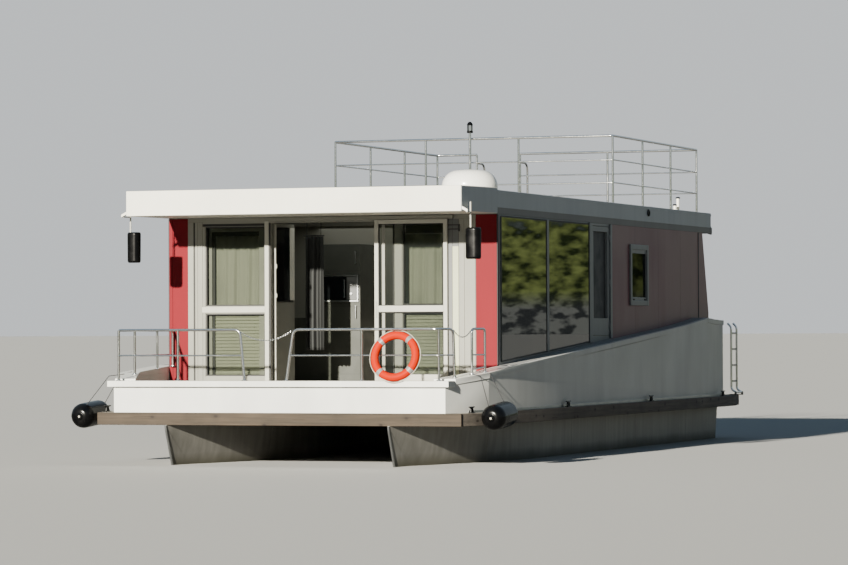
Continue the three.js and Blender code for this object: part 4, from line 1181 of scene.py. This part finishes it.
def makeMirror(m, side, s):
    x0, x1 = m[side]
    half, middle = (x1 - x0) / 2, (x0 + x1) / 2
    depth, height = m["y"][1] - m["y"][0], m["z"][1] - m["z"][0]
    case = bmesh.new()
    bmesh.ops.create_cone(case, cap_ends=True, segments=56, radius1=1, radius2=1, depth=1)
    lids = [e for e in case.edges if abs(e.verts[0].co.z - e.verts[1].co.z) < 0.01]
    bmesh.ops.scale(case, vec=(half, depth, height), verts=case.verts)
    bmesh.ops.bevel(case, geom=lids, offset=0.030, segments=5, affect="EDGES", profile=0.5,
                    material=-1)
    geom = case.verts[:] + case.edges[:] + case.faces[:]
    cut = bmesh.ops.bisect_plane(case, geom=geom, plane_co=(0, 0, 0), plane_no=(0, 1, 0),
                                 clear_outer=True)["geom_cut"]
    bmesh.ops.holes_fill(case, edges=[g for g in cut if isinstance(g, bmesh.types.BMEdge)])
    for v in case.verts:
        drop = 0.5 - v.co.z / height
        v.co.x = math.copysign(abs(v.co.x / half) ** 0.7 * half, v.co.x) * (1 - 0.03 * drop)
    bmesh.ops.translate(case, vec=(middle, m["y"][1], (m["z"][0] + m["z"][1]) / 2),
                        verts=case.verts)
    bmesh.ops.recalc_face_normals(case, faces=case.faces[:])
    made(f"mirror_{side}_case", case, "black_metal", replaces=[f"mirror_{side}"], sharp=60)
    face = bmesh.new()
    rounded(face, (x0 + 0.022, x1 - 0.022), (m["y"][1] - 0.004, m["y"][1] + 0.001),
            (m["z"][0] + 0.03, m["z"][1] - 0.03), 0.002, 2)
    made(f"mirror_{side}_face", face, "mirror", "stainless")
    rodX = s * m["rodX"]
    tubes(f"mirror_{side}_rod", [
        ([(rodX, m["rodY"], m["z"][1] - 0.02), (rodX, m["rodY"], m["rodTop"])], 0.011, 0),
        ([(s * 2.446, 0.595, 3.317), (rodX, m["rodY"], 3.317)], 0.008, 0)], "leaf_frame",
          "white_frame")
    arm = bmesh.new()
    near, far = s * m["armX"][0], s * m["armX"][1]
    raised(arm, [(near, m["armY"][0], 3.350), (far, m["armY"][0], 3.310),
                 (far, m["armY"][0], 3.346), (near, m["armY"][0], 3.388)],
           (0, m["armY"][1] - m["armY"][0], 0), 0.004)
    made(f"mirror_{side}_arm", arm, "white_paint")


for side, s in bothSides():
    makeMirror(mirrors, side, s)

# Boarding ladder on the port quarter
swim = {"y": (13.16, 13.50), "pivotX": 2.70, "pivotZ": 0.745, "stileX": 2.62, "top": 1.87}


def makeSwimLadder(d):
    routes, treads = [], bmesh.new()
    for y in d["y"]:
        routes.append(([(d["pivotX"], y, d["pivotZ"]), (d["stileX"], y, d["pivotZ"] + 0.05),
                        (d["stileX"], y, d["top"] - 0.06), (d["stileX"] - 0.06, y, d["top"])],
                       0.0165, 0.05))
    for i in range(4):
        z = d["pivotZ"] + 0.18 + i * 0.26
        routes.append(([(d["stileX"], d["y"][0], z), (d["stileX"], d["y"][1], z)], 0.0135, 0))
        rounded(treads, (d["stileX"] - 0.016, d["stileX"] + 0.016),
                (d["y"][0] + 0.03, d["y"][1] - 0.03), (z + 0.004, z + 0.016), 0.004)
    routes.append(([(d["pivotX"], d["y"][0] - 0.03, d["pivotZ"]),
                    (d["pivotX"], d["y"][1] + 0.03, d["pivotZ"])], 0.0135, 0))
    tubes("swim_ladder_tubes", routes, "stainless", body="boarding_ladder",
          replaces=["boarding_ladder"])
    made("swim_ladder_treads", treads, "gasket", "black_rubber", body="boarding_ladder")


makeSwimLadder(swim)

# Outboard motor
softened("outboard_clamp", "black_metal", width=0.003)
softened("outboard_swivel", "black_metal", width=0.003, body="motor_swivel")
softened("outboard_motor", "black_metal", width=0.008, segments=3, body="motor")
softened("outboard_propeller", "black_metal", width=0.004, body="propeller")
print("stern fittings made")

# Cabin fittings
softened("galley_unit", "grey_laminate", width=0.003)
softened("cabin_partition", "white_laminate", width=0.002)
softened("helm_console", "grey_laminate", width=0.012, segments=3)
skinned("helm_wheel", "black_metal")
oven = {"x": (-0.957, -0.363), "z": (2.182, 2.565), "border": 0.022, "y": 3.976,
        "door": (-0.925, -0.545), "panel": (-0.535, -0.392), "faceZ": (2.212, 2.535),
        "bar": (-0.565, 3.955), "barZ": (2.24, 2.50), "barFeet": (2.26, 2.48),
        "knobX": -0.464, "knobs": (2.30, 2.44)}
galley = {"handle": (-0.40, 3.968), "handles": (1.95, 2.72), "handleLength": 0.18,
          "joints": (1.16, 2.12, 2.62), "front": (-0.978, -0.342)}


def makeGalleyFront(d, g):
    trim, joints = bmesh.new(), bmesh.new()
    beadAcross(trim, d["x"], d["z"], d["border"], d["y"], 0.013)
    blocks("oven_door", [(d["door"], (3.979, 3.989), d["faceZ"])], 0.006, 3, "dark_glass",
           "window_glass")
    blocks("oven_panel", [(d["panel"], (3.981, 3.989), d["faceZ"])], 0.003, 3, "slot_grey",
           "grey_laminate")
    rod(trim, *((*d["bar"], z) for z in d["barZ"]), 0.007)
    for z in d["barFeet"]:
        rod(trim, (*d["bar"], z), (d["bar"][0], 3.985, z), 0.005)
    for z in d["knobs"]:
        rod(trim, (d["knobX"], 3.983, z), (d["knobX"], 3.962, z), 0.020, 0.017)
    for z in g["handles"]:
        rod(trim, (*g["handle"], z), (*g["handle"], z + g["handleLength"]), 0.006)
        for dz in (0.02, 0.16):
            rod(trim, (*g["handle"], z + dz), (g["handle"][0], 4.002, z + dz), 0.004)
    made("oven_trim", trim, "dull_steel", "stainless")
    for z in g["joints"]:
        brick(joints, g["front"], (3.9985, 4.001), around(z, 0.0015))
    made("galley_joints", joints, "gasket", "black_rubber")


makeGalleyFront(oven, galley)


# Curtains: gathered cloth in broad uneven folds, hung from a rail
curtains = {
    "port": {"x": (1.000, 1.548), "y": 2.165, "z": (1.085, 3.083), "folds": 5, "depth": 0.022,
             "flat": (0.62, 1.998), "finish": "curtain_cloth", "seed": 2},
    "starboard": {"x": (-1.750, -1.040), "y": 2.12, "z": (1.085, 3.083), "folds": 6,
                  "depth": 0.022, "flat": (0.79, 1.998), "finish": "curtain_cloth", "seed": 5},
    "door": {"x": (-0.835, -0.565), "y": 3.14, "z": (1.505, 3.09), "folds": 5, "depth": 0.045,
             "flat": (0.62, 1.585), "finish": "dark_cloth", "seed": 3}}


def makeCurtain(side, d):
    rng = random.Random(d["seed"])
    (x0, x1), (z0, z1), folds = d["x"], d["z"], d["folds"]
    bm = bmesh.new()
    bmesh.ops.create_grid(bm, x_segments=folds * 16, y_segments=30, size=0.5)
    waves = [(folds, 1.0, rng.uniform(0, 6)), (folds * 0.55, 0.5, rng.uniform(0, 6)),
             (folds * 1.7, 0.28, rng.uniform(0, 6))]
    for v in bm.verts:
        u, t = v.co.x + 0.5, v.co.y + 0.5
        swing = sum(size * math.sin(2 * math.pi * rate * (u + 0.012 * math.sin(5 * t)) + start)
                    for rate, size, start in waves)
        fall = 1 - 0.3 * t
        v.co = Vector((x0 + (x1 - x0) * u, d["y"] + d["depth"] * fall * swing * 0.62,
                       z0 + (z1 - z0) * t))
    name = f"curtain_{side}_cloth"
    obj = made(name, bm, d["finish"], replaces=[f"curtain_{side}"], sharp=180, flat=False)
    thick = obj.modifiers.new("cloth", "SOLIDIFY")
    thick.thickness, thick.offset = 0.0008, 0
    rail = bmesh.new()
    rod(rail, (x0 - 0.02, d["y"], z1 + 0.012), (x1 + 0.02, d["y"], z1 + 0.012), 0.009)
    for x in (x0 + 0.03, x1 - 0.03):
        rod(rail, (x, d["y"], z1 + 0.012), (x, d["y"], 3.323), 0.005)
    made(name + "_rail", rail, "gasket", "black_metal")


for side, d in curtains.items():
    makeCurtain(side, d)

# Slatted blinds behind the lower panes, nearly closed
blind = {"pitch": 0.046, "count": 19, "foot": 1.165, "tilt": 1.0, "slat": 0.0275,
         "lights": (((-1.736, -1.084), 2.074), ((1.045, 1.600), 2.074))}
slats = bmesh.new()
for x, y in blind["lights"]:
    for i in range(blind["count"]):
        verts = brick(slats, x, (-blind["slat"], blind["slat"]), (-0.0007, 0.0007))
        bmesh.ops.rotate(slats, verts=verts, cent=(0, 0, 0),
                         matrix=Matrix.Rotation(blind["tilt"], 3, "X"))
        bmesh.ops.translate(slats, verts=verts, vec=(0, y, blind["foot"] + i * blind["pitch"]))
    for cx in (x[0] + 0.08, x[1] - 0.08):
        rod(slats, (cx, y, 1.14), (cx, y, 2.03), 0.0015, sides=6)
    rounded(slats, x, around(y, 0.011), (2.03, 2.055), 0.003, 2)
made("slat_blinds", slats, "blind", "curtain_cloth")
print("cabin dressed")

# Studio: a pale floor at the waterline, a low sun from ahead and a soft even sky. The floor
# sends less light back up than it shows, as water does.
floorPlan = {"reach": 1500, "bounced": (0.10, 0.10, 0.10), "mirrored": (0.17, 0.17, 0.165),
             "shown": (0.50, 0.50, 0.49)}


def makeFloor(d):
    ground = bmesh.new()
    bmesh.ops.create_grid(ground, x_segments=2, y_segments=2, size=d["reach"],
                          matrix=Matrix.Translation((0, 0, shift.z)))
    floor = bpy.data.objects.new("floor", keep(ground, "floor"))
    f = Finish("studioFloor", rough=0.9)
    unseen = f.mix(f.node("LightPath", output="Is Glossy Ray"), d["bounced"], d["mirrored"])
    f.set("colour", f.mix(f.node("LightPath", output="Is Camera Ray"), unseen, d["shown"]))
    floor.data.materials.append(f.material)
    bpy.context.scene.collection.objects.link(floor)


makeFloor(floorPlan)

sunPlan = {"azimuth": 5.5, "height": 15.1, "power": 15.0, "softness": 1.2,
           "colour": (1.0, 0.945, 0.81)}
sunData = bpy.data.lights.new("sun", "SUN")
sunData.energy, sunData.angle = sunPlan["power"], math.radians(sunPlan["softness"])
sunData.color = sunPlan["colour"]
sun = bpy.data.objects.new("sun", sunData)
a, e = math.radians(sunPlan["azimuth"]), math.radians(sunPlan["height"])
toSun = Vector((-math.sin(a) * math.cos(e), -math.cos(a) * math.cos(e), math.sin(e)))
sun.rotation_mode = "QUATERNION"
sun.rotation_quaternion = toSun.to_track_quat("Z", "Y")
bpy.context.scene.collection.objects.link(sun)

# Daylight in the cabin, from a soft panel under the ceiling
cabinLight = {"place": (0, 6.2, 3.29), "size": (3.6, 7.0), "power": 55,
              "colour": (0.96, 1.0, 0.93)}
panelData = bpy.data.lights.new("cabin_light", "AREA")
panelData.shape = "RECTANGLE"
panelData.size, panelData.size_y = cabinLight["size"]
panelData.energy, panelData.color = cabinLight["power"], cabinLight["colour"]
panel = bpy.data.objects.new("cabin_light", panelData)
panel.location = Vector(cabinLight["place"]) + shift
panel.visible_camera = panel.visible_glossy = False
bpy.context.scene.collection.objects.link(panel)

# Gloss sees a shore with trees under the sky, the camera sees a plain wall, the rest a soft fill
sky = {"fill": (0.31, 0.53, 0.80), "fillPower": 0.11, "wall": (0.72, 0.75, 0.77),
       "low": (0.55, 0.62, 0.66), "high": (0.30, 0.42, 0.55),
       "shade": (0.030, 0.045, 0.012), "leaves": (0.37, 0.44, 0.13), "shore": (0.016, 0.042),
       "bank": (0.30, 0.31, 0.28), "bankShade": (0.06, 0.065, 0.065), "bankTop": (0.006, 0.011)}
world = bpy.data.worlds.new("studio")
world.use_nodes = True
bpy.context.scene.world = world
w = Board(world.node_tree)
direction = w.node("TexCoord", output="Generated")
up = w.node("SeparateXYZ", inputs={0: direction}, output=2)
foliage = w.node("TexNoise", inputs={"Vector": w.scaled(direction, (230, 230, 420)), "Scale": 1.0,
                                     "Detail": 4.0})
skyTone = w.mix(w.span(up, 0.02, 0.7), sky["low"], sky["high"])
trees = w.mix(w.span(foliage, 0.38, 0.64), sky["shade"], sky["leaves"])
bank = w.mix(w.span(foliage, 0.45, 0.55), sky["bankShade"], sky["bank"])
trees = w.mix(w.span(up, *sky["bankTop"]), bank, trees)
treeTop = w.span(up - foliage * 0.03, sky["shore"][0], sky["shore"][1])
around = w.mix(treeTop, trees, skyTone)
isCamera = w.node("LightPath", output="Is Camera Ray")
isGlossy = w.node("LightPath", output="Is Glossy Ray")
seen = w.mix(isGlossy, sky["fill"], around)
background = world.node_tree.nodes["Background"]
w.plug(background.inputs["Color"], w.mix(isCamera, seen, sky["wall"]))
either = isCamera.calc("MAXIMUM", isCamera, isGlossy)
w.plug(background.inputs["Strength"], either * (1 - sky["fillPower"]) + sky["fillPower"])
print("studio set")
